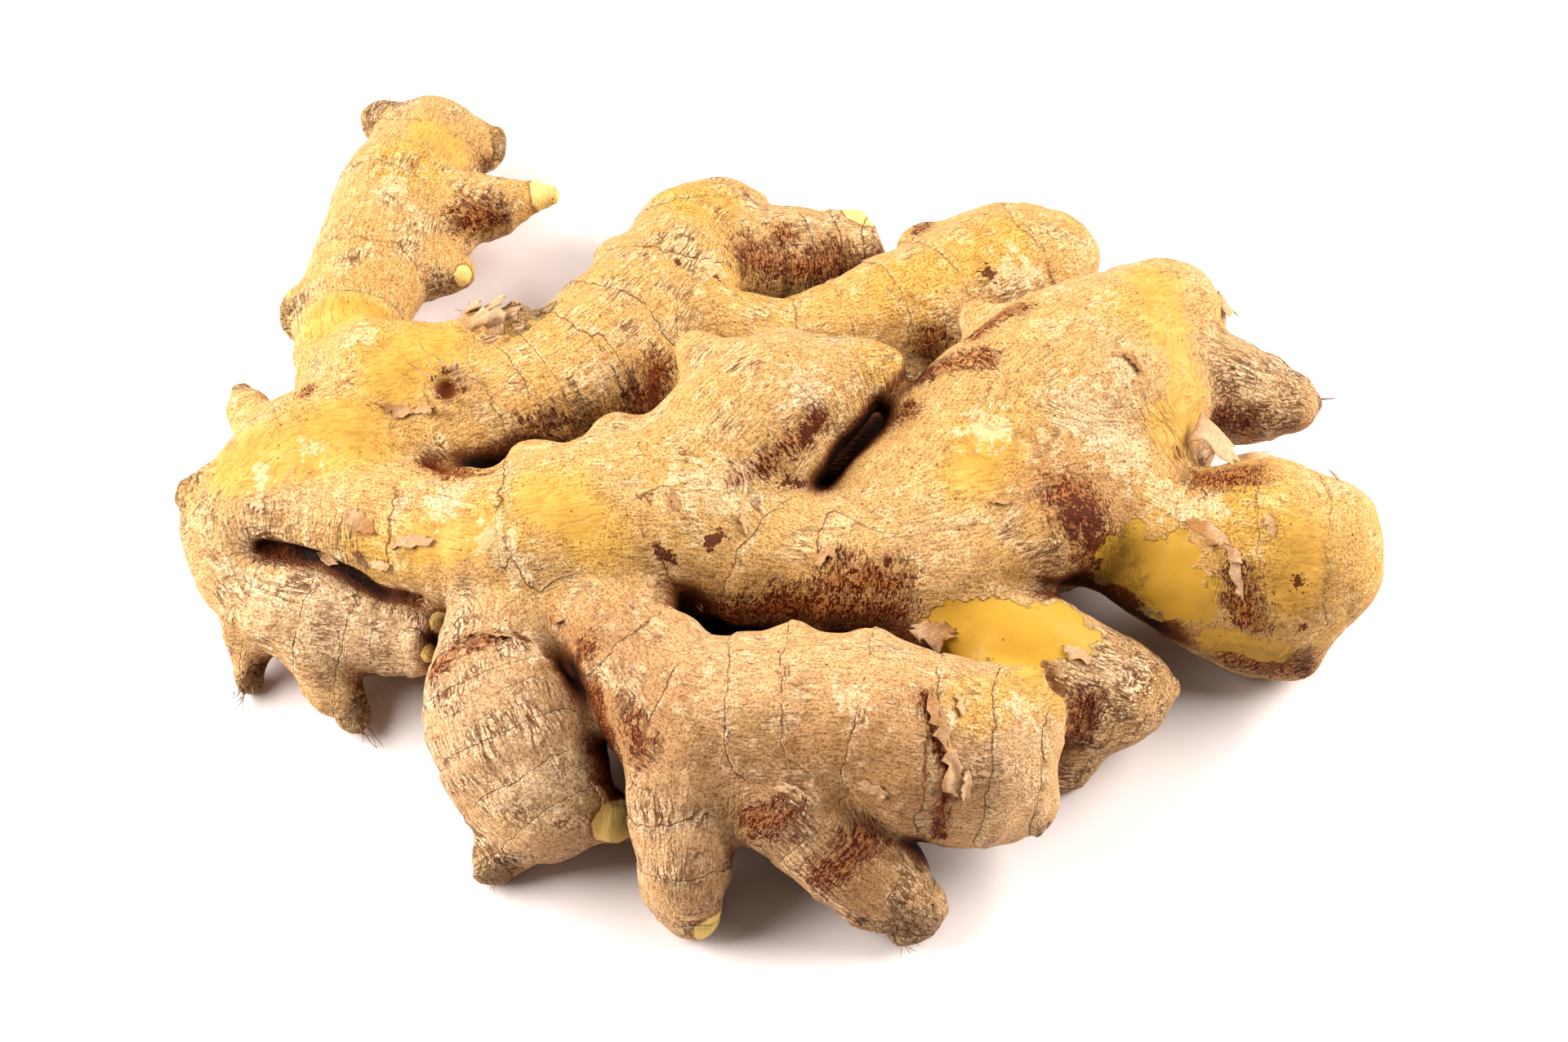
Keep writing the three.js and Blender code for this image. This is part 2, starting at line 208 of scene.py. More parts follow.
# Marks on the skin. Each is a width to either side, in millimetres, and one or more
# places it runs through.
MARKS = {
    # The skin is rubbed so thin here that the yellow flesh shows through.
    "rubbed": [
        (9, (-88, -8, 28), (-80, -7, 30), (-71, -4, 31)), (8, (-64, 6, 32), (-58, 12, 33)),
        (7, (-77, 24, 26), (-70, 24, 26)), (6, (-63, 71, 20), (-58, 69, 17)),
        (7.5, (63, 22, 37), (66, 8, 34), (68, 1, 32), (64, -6, 33)),
        (6.5, (32, -17, 38), (34, -14, 38)), (7, (84, -34, 28), (85, -27, 33)),
        (6, (-57, -28, 33), (-48, -29, 36)), (6, (-38, -25, 41), (-31, -29, 41)), (3.6, (40, -52, 31)),
        (3.2, (44, -56, 28.5)),
    ],
    # It has torn right off here.
    "bare": [
        (7, (28, -41, 27), (38, -41, 28), (46, -41, 27)), (6, (38, -46, 26)),
        (8.5, (57, -28, 27), (66, -32, 24)), (6, (64, -28, 30)), (5.5, (69, -38, 16), (81, -38, 15)),
    ],
    # The skin is thinner and more golden here.
    "golden": [
        (8, (-66, -26, 26), (-54, -27, 34)), (9, (-46, -26, 37), (-36, -24, 42), (-28, -31, 40)),
        (9, (30, -19, 38), (34, -12, 38)), (9, (31, -60, 34), (37, -56, 31), (41, -51, 26)),
        (11, (-88, -8, 28), (-68, -4, 31)), (10, (-64, 6, 32), (-58, 12, 33)),
        (8, (-77, 22, 27), (-70, 24, 26)), (9, (22, 31, 26), (39, 42, 25)), (11, (-13, 53, 23)),
        (7, (17, 5, 39)), (10, (-66, 62, 22)), (12, (80, -30, 28), (76, -24, 34)), (9, (-68, 12, 32)),
        (9, (60, 14, 39)),
    ],
    # Young shoots push through at these tips, smooth and pale.
    "shoot": [
        (4.4, (-27, -69, 14), (-24, -67.5, 11)), (4, (-11, -82, 5)), (4, (14, 56, 13)),
        (3, (16, 49.5, 9)), (4.5, (-42, 61, 14)), (2.5, (-56, 42, 15)), (2.6, (-55.3, -33.5, 18)),
        (2.2, (-57, -37.6, 15)),
    ],
    # The skin puckers here, in short folds across the finger.
    "puckered": [
        (7, (-88, -17, 22), (-80, -19, 24), (-72, -22, 26)), (6, (-52, -42, 26), (-44, -43, 28)),
        (5, (-16, -69, 24), (-8, -71, 23)), (5, (2, -73, 26), (12, -73, 22)), (6, (-76, 46, 20)),
        (5, (-48, 54, 18)), (5, (-60, 3, 33)), (6, (58, 3, 37), (68, -12, 33)), (5, (-8, 46, 20)),
        (6, (48, -50, 20), (56, -46, 20)), (6, (-34, 4, 28), (-26, 7, 26)),
        (5, (-85, -31, 12), (-73, -35, 13)), (6, (12, -5, 40), (18, 0, 36)),
    ],
    # The skin is browner on these faces. On the front trunk, its legs and the front of the fat finger's foot
    # this is painted shade on lower, front-facing faces; on top of the fat finger and its shoulder it is
    # thicker, browner skin.
    "tanned_and_shaded": [
        (17, (-28, -50, 30), (-20, -58, 28), (-6, -66, 26), (22, -68, 30)), (9, (-14, -76, 14)),
        (10, (14, -78, 16)), (12, (42, -18, 36), (52, -20, 30)), (8, (68, -14, 34), (78, -14, 32)),
        (9, (84, -32, 26)),
    ],
    # Old skin has dried to pale paper here.
    "papery": [
        (6, (34, -10, 39)), (6.5, (49, -4, 39), (57, -13, 35)), (4, (56, 1, 39)),
        (6.5, (-13, -23, 41), (-7, -20, 39)), (4.5, (-46, -30, 37), (-41, -34, 35)),
        (6, (-41, -46, 28)), (4, (-52, -18, 36), (-54, -23, 35)), (4, (25, -64, 37)),
        (5, (38, -59, 31)), (6, (-40, -67, 22), (-33, -64, 21)), (4, (-85, -11, 26)),
        (4, (-70, 14, 32)), (6, (4, -5, 45)), (6, (41, 35, 23)), (4, (12, -61, 38)), (5, (47, -48, 25)),
        (5, (-68, 57, 22)), (4.5, (-12, 36, 24)), (5, (-29, 7, 31)), (5, (63, -19, 33), (70, -22, 33)),
        (3.5, (-77, -8, 32)), (11, (-84, -29, 18), (-73, -34, 18), (-62, -35, 17)), (5, (80, 8, 28)),
        (4, (52, -46, 25), (57, -46, 22)),
    ],
    # Red-brown scurf, thickest where fingers rub against each other.
    "stained": [
        (5.5, (-10, -35, 24), (4, -36, 28), (18, -37, 28)), (5, (9, -33, 31), (18, -34, 31)),
        (6.5, (47, -22, 37), (50, -26, 32), (52, -28, 25)), (5, (44, -28, 24)), (4.5, (56, -29, 22)),
        (4.6, (-5, 43, 19), (3, 43, 15), (10, 47, 13)), (3.6, (1, 48, 18)),
        (4.5, (-55, 53, 17), (-51, 54, 16)), (4.5, (-35, 3, 26), (-41, 0, 27)),
        (6, (-23, 5, 24), (-21, 13, 24)), (4.5, (-57, -10, 28), (-52, -14, 33)),
        (3.5, (-84, -21, 19), (-72, -24, 16), (-60, -31, 18)), (3, (-31, -47, 31)),
        (4, (-25, -60, 33), (-22, -65, 29)), (4.5, (-4, -75, 24), (0, -75, 26)),
        (1.8, *FRONT_RING),
        (4.5, (14, -75, 21), (7, -81, 18)), (3, (-54, -48, 26), (-46, -45, 29)),
        (4.5, (47, -54, 17), (49, -52, 22)), (4.5, (74, -32, 28.5), (76.5, -37, 22.5)),
        (5, (74, -37, 12), (87, -38, 10)), (4.5, (70, -15, 32), (77, -16, 33)), (4.5, (26, 24, 19)),
        (3.5, (24, 4, 36), (34, 3, 42)), (3, (25, 48, 20)), (4, (33, 11, 39), (39, 15, 40)),
        (4, (75, 4, 24), (78, 4, 22)), (3, (6, -9, 41), (-7, -20, 39)), (5, (18, 2, 30)),
        (3.5, (21, -4, 37)), (2.5, (-79, 5, 31)), (3, (65, -9, 30)),
        (2.5, (-28, -52, 28), (-26, -60, 24), (-24, -67, 17)),
    ],
    # Clusters of dark scabs.
    "scabbed": [
        (2.5, (4, -12, 40), (6, -10, 41)), (2.5, (1, -18, 36), (2, -17, 33)),
        (2, (-11, -31, 37), (-9, -29, 37)), (1.5, (-19, -32, 38), (-17, -33, 35)), (1.5, (-17, 34, 28)),
        (3, (-12, 33, 23)), (2.5, (36, 35, 24)), (2, (-30, 8, 29)), (2.5, (84, -33, 29)),
        (2, (85, -37, 21)), (4.5, (48, -24, 36), (50, -26, 32)), (3, (52, -27, 26)),
    ],
    # Thick with fine dark dots.
    "freckled": [
        (8, (23, -16, 38), (26, -26, 36), (34, -28, 34)), (6, (39, -29, 26)),
        (5, (46, -20, 36), (60, -12, 34)), (7, (84, -35, 26), (75, -35, 25)), (7, (14, -27, 35)),
        (7, (65, -21, 33), (76, -21, 34)), (5, (34, 18, 35), (28, 31, 25)), (5, (-29, 9, 30)),
    ],
    # Broken ends and old scars, rough and grey-brown.
    "rough": [
        (5.5, (-42, 20.5, 28.5), (-47, 19, 27.5)), (6.5, (18, -83, 7), (23, -84, 5)),
        (4.5, (-45, -72, 4)), (3.5, (-70, -43, 4)), (4.5, (-88, -36, 3)), (5, (-72, 81, 11)),
        (6, (-99, -8, 20)), (5, (-50.5, 75.5, 11)), (3, (86, -37, 12)), (4, (-44, 18, 29)),
        (4, (43, -69, 12)), (3.5, (-84, 31, 17)), (2.5, (-91, 12, 19)), (3, (91, 11, 20)),
    ],
}

# Creases where one growth presses on the next: how deep and how wide each is, and where it runs. They are
# sunk in the relief, and the skin along them is painted darker, partly as soil and partly as painted shade;
# the last and widest fills a shut-in slot with painted shade.
CREASES = [
    (
        2.2, 2.0, (-85, -20.5, 21), (-82, -21, 21), (-75, -24, 22.5), (-69, -27, 21.5),
        (-64, -29, 19.5), (-59, -30, 20),
    ),
    (1.4, 2.2, (-58, -8, 27), (-54, -13, 31), (-50, -15, 33), (-46, -14, 34)),
    (1.2, 2.0, (-37, -13, 36), (-33, -11, 37)), (1.2, 2.2, (-19, 15, 23), (-20, 8, 28), (-20, 0, 34)),
    (0.7, 1.1, *FRONT_RING),
    (0.7, 1.2, (-47, -42.5, 27), (-41, -44, 29), (-35, -45, 29)),
    (1.6, 2.6, (-22, 9, 22), (-20, 10, 23)), (0.6, 7, (20, 12, 18.5), (16, 6, 18), (12, 1, 16)),
]

# A shoot has rotted away here and left a hole with a frayed rim: x, y, z and radius.
HOLE = (-55, 3.5, 32.5, 2.0)

# How far apart the points on a finger's line are.
LINE_STEP = 4.0


def unit(way):
    """The same direction, one long."""
    return way / np.linalg.norm(way)


def along(stations):
    """Even points on a smooth line through the stations, with their radii."""
    knots = np.array(stations, float)
    if len(knots) == 2:
        knots = np.array([knots[0], knots.mean(0), knots[1]])
    knots = np.vstack([2 * knots[0] - knots[1], knots, 2 * knots[-1] - knots[-2]])
    line = []
    for before, start, end, after in zip(knots, knots[1:], knots[2:], knots[3:]):
        pieces = max(1, round(float(np.linalg.norm(end[:3] - start[:3])) / LINE_STEP))
        for t in np.arange(pieces) / pieces:
            line.append(0.5 * (
                2 * start + (end - before) * t
                + (2 * before - 5 * start + 4 * end - after) * t**2
                + (3 * start - before - 3 * end + after) * t**3
            ))
    line.append(knots[-2])
    return np.array(line)


# ------------------------------------------------------------ the solid field
# The root is first made as a field of distances to its skin, on an even grid,
# because there the fingers can swell out of each other as grown flesh does. The grid has
# a spacing, a lowest corner and a number of points each way.
GRID = 0.98
FIELD_LOW = np.array([-106.0, -91.0, -4.0])
FIELD_SIZE = (217, 186, 55)
# A distance that counts as open air, and how far round itself a finger changes the field.
FAR = 12.0
REACH = 9.0
# How widely growths blend into each other: where a finger buds, where it only touches,
# where it comes out from a crease, where it melts in, and where a bud stands. The root of
# a finger reaches this many of its radii from its first station.
ROOT_BLEND = 6.0
TOUCH_BLEND = 1.3
CREASE_BLEND = 2.5
MELT_BLEND = 7.0
BUD_BLEND = 2.6
ROOT_SPREAD = 1.7
# The eight corners of a grid cell, as steps along x, y and z.
CORNERS = np.array([(x, y, z) for z in (0, 1) for y in (0, 1) for x in (0, 1)])


def blend_into(field, stations, root_blend, touch_blend):
    """Grows one finger on to the field, melting in at its root and only touching elsewhere."""
    line = along(stations)
    low = (line[:, :3] - line[:, 3:]).min(0) - REACH
    high = (line[:, :3] + line[:, 3:]).max(0) + REACH
    first = np.maximum(np.floor((low - FIELD_LOW) / GRID).astype(int), 0)
    last = np.minimum(np.ceil((high - FIELD_LOW) / GRID).astype(int) + 1, FIELD_SIZE)
    axes = [FIELD_LOW[i] + GRID * np.arange(first[i], last[i], dtype=np.float32) for i in range(3)]
    x, y, z = axes[0][:, None, None], axes[1][None, :, None], axes[2][None, None, :]
    finger = np.full([len(a) for a in axes], FAR, np.float32)
    for a, b in zip(line, line[1:]):
        span = b[:3] - a[:3]
        t = ((x - a[0]) * span[0] + (y - a[1]) * span[1] + (z - a[2]) * span[2]) / (span @ span)
        t = np.clip(t, 0, 1)
        away = np.sqrt(
            (x - a[0] - t * span[0]) ** 2 + (y - a[1] - t * span[1]) ** 2 + (z - a[2] - t * span[2]) ** 2
        )
        np.minimum(finger, away - a[3] - t * (b[3] - a[3]), out=finger)
    root = line[0]
    from_root = (x - root[0]) ** 2 + (y - root[1]) ** 2 + (z - root[2]) ** 2
    blend = touch_blend + (root_blend - touch_blend) * np.exp(-from_root / (ROOT_SPREAD * root[3]) ** 2)
    there = tuple(slice(first[i], last[i]) for i in range(3))
    whole = field[there]
    overlap = np.maximum(blend - np.abs(whole - finger), 0) / blend
    field[there] = np.minimum(whole, finger) - overlap**2 * blend / 4


def grow_field():
    """The whole root as distances to its skin, with its hole, cut level on the table."""
    field = np.full(FIELD_SIZE, FAR, np.float32)
    for name, stations in FINGERS.items():
        melts = name in MELTED
        at_root = MELT_BLEND if melts else CREASE_BLEND if name in CREASED else ROOT_BLEND
        blend_into(field, stations, at_root, MELT_BLEND if melts else TOUCH_BLEND)
    for name, stations in BUDS.items():
        blend = MELT_BLEND if name in MELTED else BUD_BLEND
        blend_into(field, stations, blend, blend)
    axes = [FIELD_LOW[i] + GRID * np.arange(FIELD_SIZE[i], dtype=np.float32) for i in range(3)]
    x, y, z = np.ix_(*axes)
    to_hole = np.sqrt((x - HOLE[0]) ** 2 + (y - HOLE[1]) ** 2 + (z - HOLE[2]) ** 2) - HOLE[3]
    return np.maximum(np.maximum(field, -to_hole), -z)


def read_field(field, points):
    """The field at any points, blended from the eight grid corners round each."""
    spot = (points - FIELD_LOW) / GRID
    cell = np.clip(np.floor(spot).astype(int), 0, np.array(FIELD_SIZE) - 2)
    share = np.clip(spot - cell, 0, 1)
    value = np.zeros(len(points))
    for step in CORNERS:
        weight = np.where(step, share, 1 - share).prod(1)
        value += weight * field[tuple((cell + step).T)]
    return value


def skin_mesh(field):
    """Points and four-sided faces on the skin, all closed."""
    grid = openvdb.FloatGrid(FAR)
    grid.copyFromArray(field)
    points, quads = grid.convertToQuads(0.0)
    return FIELD_LOW + GRID * points.astype(float), quads


# --------------------------------------------------------------------- relief
# Large odd numbers that stir a grid cell's place into a random value.
PRIMES = np.array([374761393, 668265263, 2147483647], np.int64)
SEED_STEP, FIRST_STIR, LAST_STIR = 1274126177, 1103515245, 12345677
LOW_31_BITS = 0x7FFFFFFF

# Stands for the distance to a finger until the first one is measured.
UNFOUND = 1e3
# What a mark says to points far outside it.
OUTSIDE = -2.0
# Growth rings are this far apart past the last one that is placed.
RING_SPACING = 12
# How far a finger's grain and looks reach into the next, and how wide the stretch is
# beside a joint where growth rings fade out.
FINGER_FADE = 1.3
JOINT_WIDTH = 4
# Relief of the skin in millimetres. Its slow swells: height, width and seed of each.
SWELLS = ((0.9, 17, 1), (0.6, 7, 2), (0.26, 3.4, 3))
# Broken ends crumble in two sizes of grain, each with its share of the height.
CRUMBS = ((1.0, 2.4, 5), (0.6, 5, 6))
# Growth rings wander by shares of their spacing, in waves of these widths and seeds.
RING_WANDER = ((0.1, 9, 7), (0.06, 3.5, 8))
# Then the step at each growth ring, the furrows along each finger, the skin that is gone
# where it is bare, the crumbling of broken ends, the rim of the hole and young shoots.
# Furrows are four times as long as they are wide.
RING_STEP = 0.55
FURROW = 0.2
FURROW_WIDTH = 1.9
FURROW_SHAPE = (1.0, 1.0, 4.0)
SKIN_LOST = 0.15
CRUMBLE = 0.9
RIM = 0.7
RIM_WIDTH = 1.2
SHOOT_SWELL = 0.8
# Relief fades out this close to the table, so that the root rests flat.
SETTLED = 1.5
# Crevices are felt for at these distances off the skin, each with its share.
PROBES = ((5.0, 0.6), (2.0, 0.4))


def noise(points, size, seed=0):
    """Smooth random relief from -1 to 1, with bumps about the given size."""
    spot = points / size
    cell = np.floor(spot).astype(np.int64)
    share = spot - cell
    share = share * share * (3 - 2 * share)
    total = np.zeros(len(points))
    for step in CORNERS:
        key = ((cell + step) * PRIMES).sum(1) + seed * SEED_STEP
        key = (key ^ (key >> 13)) * FIRST_STIR & LOW_31_BITS
        key = (key ^ (key >> 15)) * LAST_STIR & LOW_31_BITS
        weight = np.where(step, share, 1 - share).prod(1)
        total += weight * (key / (LOW_31_BITS // 2) - 1)
    return total


def waves(points, heights):
    """Several sizes of smooth random relief at once: the height, width and seed of each."""
    return sum(height * noise(points, width, seed) for height, width, seed in heights)


def finger_frames(line, first_side):
    """How far along each point of the line is, and two directions across it that never twist."""
    travel = np.concatenate([[0], np.cumsum(np.linalg.norm(np.diff(line[:, :3], axis=0), axis=1))])
    ahead = np.gradient(line[:, :3], axis=0)
    ahead /= np.linalg.norm(ahead, axis=1)[:, None]
    sides = []
    side = np.array(first_side, float)
    for way in ahead:
        side = unit(side - way * (side @ way))
        sides.append(side)
    sides = np.array(sides)
    return travel, sides, np.cross(ahead, sides)


def ring_count(name, travel):
    """How many growth rings lie behind a distance along a finger, with the part of one since the last."""
    rings = np.array(RINGS.get(name, OTHER_RINGS), float)
    placed = np.concatenate([[2 * rings[0] - rings[1]], rings, [2 * rings[-1] - rings[-2]]])
    count = np.interp(travel, placed, np.arange(len(placed)))
    outside = np.maximum(travel - placed[-1], 0) + np.minimum(travel - placed[0], 0)
    return count + outside / RING_SPACING


def place_on(finger, points):
    """Distance of points from a finger, their grain on it, and its side direction there."""
    line = finger["line"]
    best = np.full(len(points), UNFOUND)
    grain = np.zeros((len(points), 3))
    side_there = np.zeros((len(points), 3))
    for i in range(len(line) - 1):
        a, b = line[i], line[i + 1]
        span = b[:3] - a[:3]
        length = float(np.linalg.norm(span))
        t = np.clip((points - a[:3]) @ span / length**2, 0, 1)[:, None]
        off = points - a[:3] - t * span
        distance = np.linalg.norm(off, axis=1) - a[3] - t[:, 0] * (b[3] - a[3])
        closer = distance < best
        side = finger["sides"][i] * (1 - t) + finger["sides"][i + 1] * t
        other = finger["others"][i] * (1 - t) + finger["others"][i + 1] * t
        travel = finger["travel"][i] + t[:, 0] * length + off @ span / length
        found = np.stack([(off * side).sum(1), (off * other).sum(1), travel], 1)
        best = np.where(closer, distance, best)
        grain[closer] = found[closer]
        side_there[closer] = side[closer]
    return best, grain, side_there


def read_fingers(points):
    """What each skin point is told by the fingers that it is on.

    The grain is two lengths across the finger and one along it, in millimetres.
    Each finger carries on from the grain of the one it buds from, so the two
    run into each other over a joint without a seam.
    """
    known = []
    for name, stations in FINGERS.items():
        line = along(stations)
        root = line[:1, :3]
        start = np.zeros(3)
        side = (0, 0, 1)
        if known:
            parent = min(known, key=lambda finger: place_on(finger, root)[0][0])
            _, grain, sides = place_on(parent, root)
            start, side = grain[0] + parent["start"], sides[0]
        travel, sides, others = finger_frames(line, side)
        finger = {"name": name, "line": line, "travel": travel, "sides": sides, "others": others}
        finger["start"] = start - place_on(finger, root)[1][0]
        known.append(finger)
    told = np.zeros((len(points), 7))
    weights = np.full(len(points), 1e-9)
    nearest = np.full(len(points), UNFOUND)
    second = np.full(len(points), UNFOUND)
    for finger in known:
        distance, grain, _ = place_on(finger, points)
        look = np.tile(LOOKS.get(finger["name"], OTHER_LOOK), (len(points), 1))
        rings = ring_count(finger["name"], grain[:, 2])
        weight = np.exp(-np.clip(distance, -6, 30) / FINGER_FADE)
        told += np.column_stack([grain + finger["start"], rings, look]) * weight[:, None]
        weights += weight
        second = np.minimum(second, np.maximum(nearest, distance))
        nearest = np.minimum(nearest, distance)
    told /= weights[:, None]
    return {
        "grain": told[:, :3], "rings": told[:, 3], "ringed": told[:, 4], "wrinkled": told[:, 5],
        "gold": told[:, 6], "clear_of_joint": np.clip((second - nearest) / JOINT_WIDTH, 0, 1),
    }


def spots(points, marks):
    """1 along the middle of each mark, falling to 0 at its edge and on below it further out."""
    found = np.full(len(points), OUTSIDE)
    for width, *places in marks:
        for a, b in zip(places, places[1:] or places):
            span = np.subtract(b, a)
            t = np.clip((points - a) @ span / max(span @ span, 1e-9), 0, 1)[:, None]
            found = np.maximum(found, 1 - np.linalg.norm(points - a - t * span, axis=1) / width)
    return found


def skin_relief(points, told, marks):
    """How far the skin stands out from the smooth finger under it, in millimetres."""
    bare = np.clip(np.maximum(marks["bare"], marks["rubbed"]) * 3, 0, 1)
    rough = np.clip(marks["rough"] * 2, 0, 1)
    overlap = (0.5 - told["rings"] % 1.0) * told["ringed"] * told["clear_of_joint"]
    furrows = noise(told["grain"] / FURROW_SHAPE, FURROW_WIDTH, 4) * told["wrinkled"] * (1 - bare)
    from_hole = np.linalg.norm(points - HOLE[:3], axis=1)
    rim = np.exp(-((from_hole - 2.0 * HOLE[3]) / RIM_WIDTH) ** 2) * (0.8 + noise(points, 1.6, 13))
    pressed = np.zeros(len(points))
    for depth, width, *places in CREASES:
        pressed = np.maximum(pressed, depth * np.clip(spots(points, [(width, *places)]), 0, 1))
    raised = SHOOT_SWELL * np.clip(marks["shoot"], 0, 1) + RING_STEP * overlap + FURROW * furrows + RIM * rim
    crumbled = CRUMBLE * waves(points, CRUMBS) * rough
    return waves(points, SWELLS) + raised + crumbled - pressed - SKIN_LOST * bare


def to_mesh(name, points, faces):
    """A smooth-shaded object from points in millimetres."""
    mesh = bpy.data.meshes.new(name)
    mesh.from_pydata((np.asarray(points) * MM).tolist(), [], [list(map(int, face)) for face in faces])
    mesh.shade_smooth()
    piece = bpy.data.objects.new(name, mesh)
    bpy.context.collection.objects.link(piece)
    return piece


def vertex_normals(mesh):
    """The way straight out of the mesh at each of its points."""
    normals = np.empty(len(mesh.vertices) * 3, np.float32)
    mesh.vertex_normals.foreach_get("vector", normals)
    return normals.reshape(-1, 3)


def keep(mesh, name, values):
    """Keeps one value, or one vector, for each point of the mesh."""
    values = np.asarray(values, np.float32)
    kind, field = ("FLOAT", "value") if values.ndim == 1 else ("FLOAT_VECTOR", "vector")
    mesh.attributes.new(name, kind, "POINT").data.foreach_set(field, values.ravel())


def read_skin(points):
    """What the fingers and marks tell skin points, and how far the skin stands out there."""
    told = read_fingers(points)
    for share, width, seed in RING_WANDER:
        told["rings"] = told["rings"] + share * noise(points, width, seed)
    marks = {name: spots(points, places) for name, places in MARKS.items()}
    marks["creased"] = spots(points, [places for _, *places in CREASES])
    settled = np.clip(points[:, 2] / SETTLED, 0, 1)
    return {**told, **marks}, skin_relief(points, told, marks) * settled


def make_root(field):
    """The root itself, with what its skin needs to know kept on its points."""
    points, faces = skin_mesh(field)
    kept, relief = read_skin(points)
    root = to_mesh("ginger_root", points, faces)
    normals = vertex_normals(root.data)
    moved = points + normals * relief[:, None]
    moved[:, 2] = np.maximum(moved[:, 2], 0)
    root.data.vertices.foreach_set("co", (moved * MM).astype(np.float32).ravel())
    root.data.update()
    # How shut in each point is, felt a little way off the skin: it sets where the skin is painted darker as
    # shade.
    kept["crevice"] = sum(
        share * np.clip(1 - read_field(field, points + normals * probe) / probe, 0, 1)
        for probe, share in PROBES
    )
    kept["hole"] = spots(points, [(2 * HOLE[3], HOLE[:3])])
    for name, values in kept.items():
        keep(root.data, name, values)
    return root


# ------------------------------------------------- scraps, scales and fibres
# Scraps of papery skin that lie on the root: where each starts and ends, how wide
# it is, and how far its free edge stands up.
SCRAPS = [
    ((-87, -14, 25), (-84, -16, 25), 1.8, 0.5),
    ((-70, -20, 30), (-65, -24, 30), 3.4, 1.2), ((-62, -26, 30), (-56, -27, 33), 2.4, 0.6),
    ((-75, -22, 22), (-72, -23.5, 22), 2.0, 1.4), ((-66, -27, 26), (-63, -28, 27), 1.9, 1.4),
    ((-68, -24, 26), (-67, -28, 25), 1.2, 1.6), ((-66, 1, 32), (-60, -1, 32), 2.0, 0.7),
    ((-60, 0, 31), (-57, 0, 31), 1.8, 1.6),
    ((66, -24, 33), (73, -27, 31), 3.4, 0.8), ((72, -27, 31), (75, -29, 30), 1.8, 1.0),
    ((22, -39, 25), (28, -41, 26), 4.6, 1.5), ((13, -71, 30), (17, -72, 29), 3.0, 0.9),
    ((34, -23, 37), (37, -23, 37), 1.7, 0.8), ((28, -59, 36), (28.5, -62, 35), 1.6, 0.7),
    ((29, -69, 30), (29, -72, 27), 2.0, 1.4), ((24, -60, 37), (26, -67, 34.5), 2.6, 0.8),
    ((26.5, -67, 34.5), (28, -72, 28), 3.2, 1.3),
    ((13, -62, 37), (13, -64, 36), 1.2, 0.8),
    ((1, -55, 38), (1, -57, 38), 1.2, 0.6), ((2, -66, 35), (2, -68, 34), 1.2, 0.8),
    ((6, -32, 33), (9, -30, 34), 2.4, 1.2), ((-36, -39, 28), (-34, -41, 30), 1.4, 1.4),
    ((-30, -65, 19), (-27, -67, 17), 2.4, 1.3), ((-15, -82, 9), (-11, -82, 9), 1.6, 0.8),
    ((79, -24, 35), (80, -27, 33), 1.4, 0.5), ((57, 5, 40), (59, 2, 38), 1.6, 0.8),
    ((46, -44, 27), (50, -46, 26), 2.6, 0.6), ((-46, -44, 29), (-43, -45, 29), 1.4, 1.2),
    ((-50, -44, 28), (-48, -44, 29), 1.2, 1.2), ((74, -28, 30), (75, -33, 26), 2.0, 0.7),
    ((-17, -24, 41), (-16, -27, 41), 1.2, 0.6), ((-6, -26, 38), (-5, -29, 37), 1.2, 0.8),
]
# Where the sheath of a lost shoot still stands in torn scraps all round: its middle, the
# way it faces, how wide the collar is, how long its scraps are and how many there are.
COLLARS = [
    ((-55, 3.5, 33.5), (0, -0.1, 1), 2.6, 2.0, 13), ((-44.8, 20, 28.2), (1, 0.25, 0.25), 3.4, 4.6, 14),
    ((-47.5, 19.2, 27.6), (1, 0.25, 0.25), 4.4, 5.4, 12),
    ((-50.5, 18.4, 27), (1, 0.25, 0.25), 5.2, 6.0, 10),
]
# Scales of old sheath that stand clear of the root, each by its four corners.
SCALES = [
    ((70, -1, 32), (76.6, -7.7, 29), (76, -11.3, 29), (67.5, -7, 32)),
    ((74.6, -6.6, 27), (82, -5.3, 27), (81, -9.1, 27.5), (76.6, -10.8, 28)),
    ((74.5, 27, 28), (75.5, 29, 26.5), (79, 22, 27), (75.5, 21, 30)),
    ((91, -9, 27), (93.5, -10, 24), (98, -18, 26), (95.5, -18, 29)),
]
# Dry roots and sheath fibres: where each tuft grows from, which way it points, how long
# and how thick its strands are, and how many there are.
TUFTS = [
    ((-55.5, 5.5, 34), (-0.4, 0.7, 0.7), 5.5, 0.32, 3), ((-54, 4, 34), (0.5, 0.2, 1), 2.5, 0.25, 5),
    ((-43, 20.3, 28.5), (1, 0.3, 0.3), 2.4, 0.5, 14), ((-53, 22, 28), (-0.3, 1, 0.6), 3.5, 0.25, 4),
    ((-59, -30, 21), (0.2, -0.4, 0.9), 3.6, 0.16, 4), ((90, 11, 20), (1, -0.4, 0.1), 3.2, 0.45, 2),
    ((4, 0, 43.5), (0.3, 1, -0.1), 4.0, 0.25, 2), ((-89, -37, 3), (-0.2, -1, 0), 2.6, 0.22, 9),
    ((-68, -44, 3), (0.7, -0.7, 0), 3.0, 0.22, 7), ((-45, -73, 3), (-0.3, -1, 0.2), 1.4, 0.18, 4),
    ((-24, -69, 9), (1, 0.1, 0.3), 2.6, 0.2, 4), ((20, -85, 4), (0.4, -1, 0), 2.0, 0.2, 9),
    ((-13, -35, 25), (-0.2, 0.6, 0.5), 2.4, 0.22, 3), ((52, 48, 15), (0.9, 0.6, 0.3), 2.2, 0.3, 3),
    ((-71, 84, 11), (-0.3, 1, 0.2), 2.0, 0.25, 4),
]

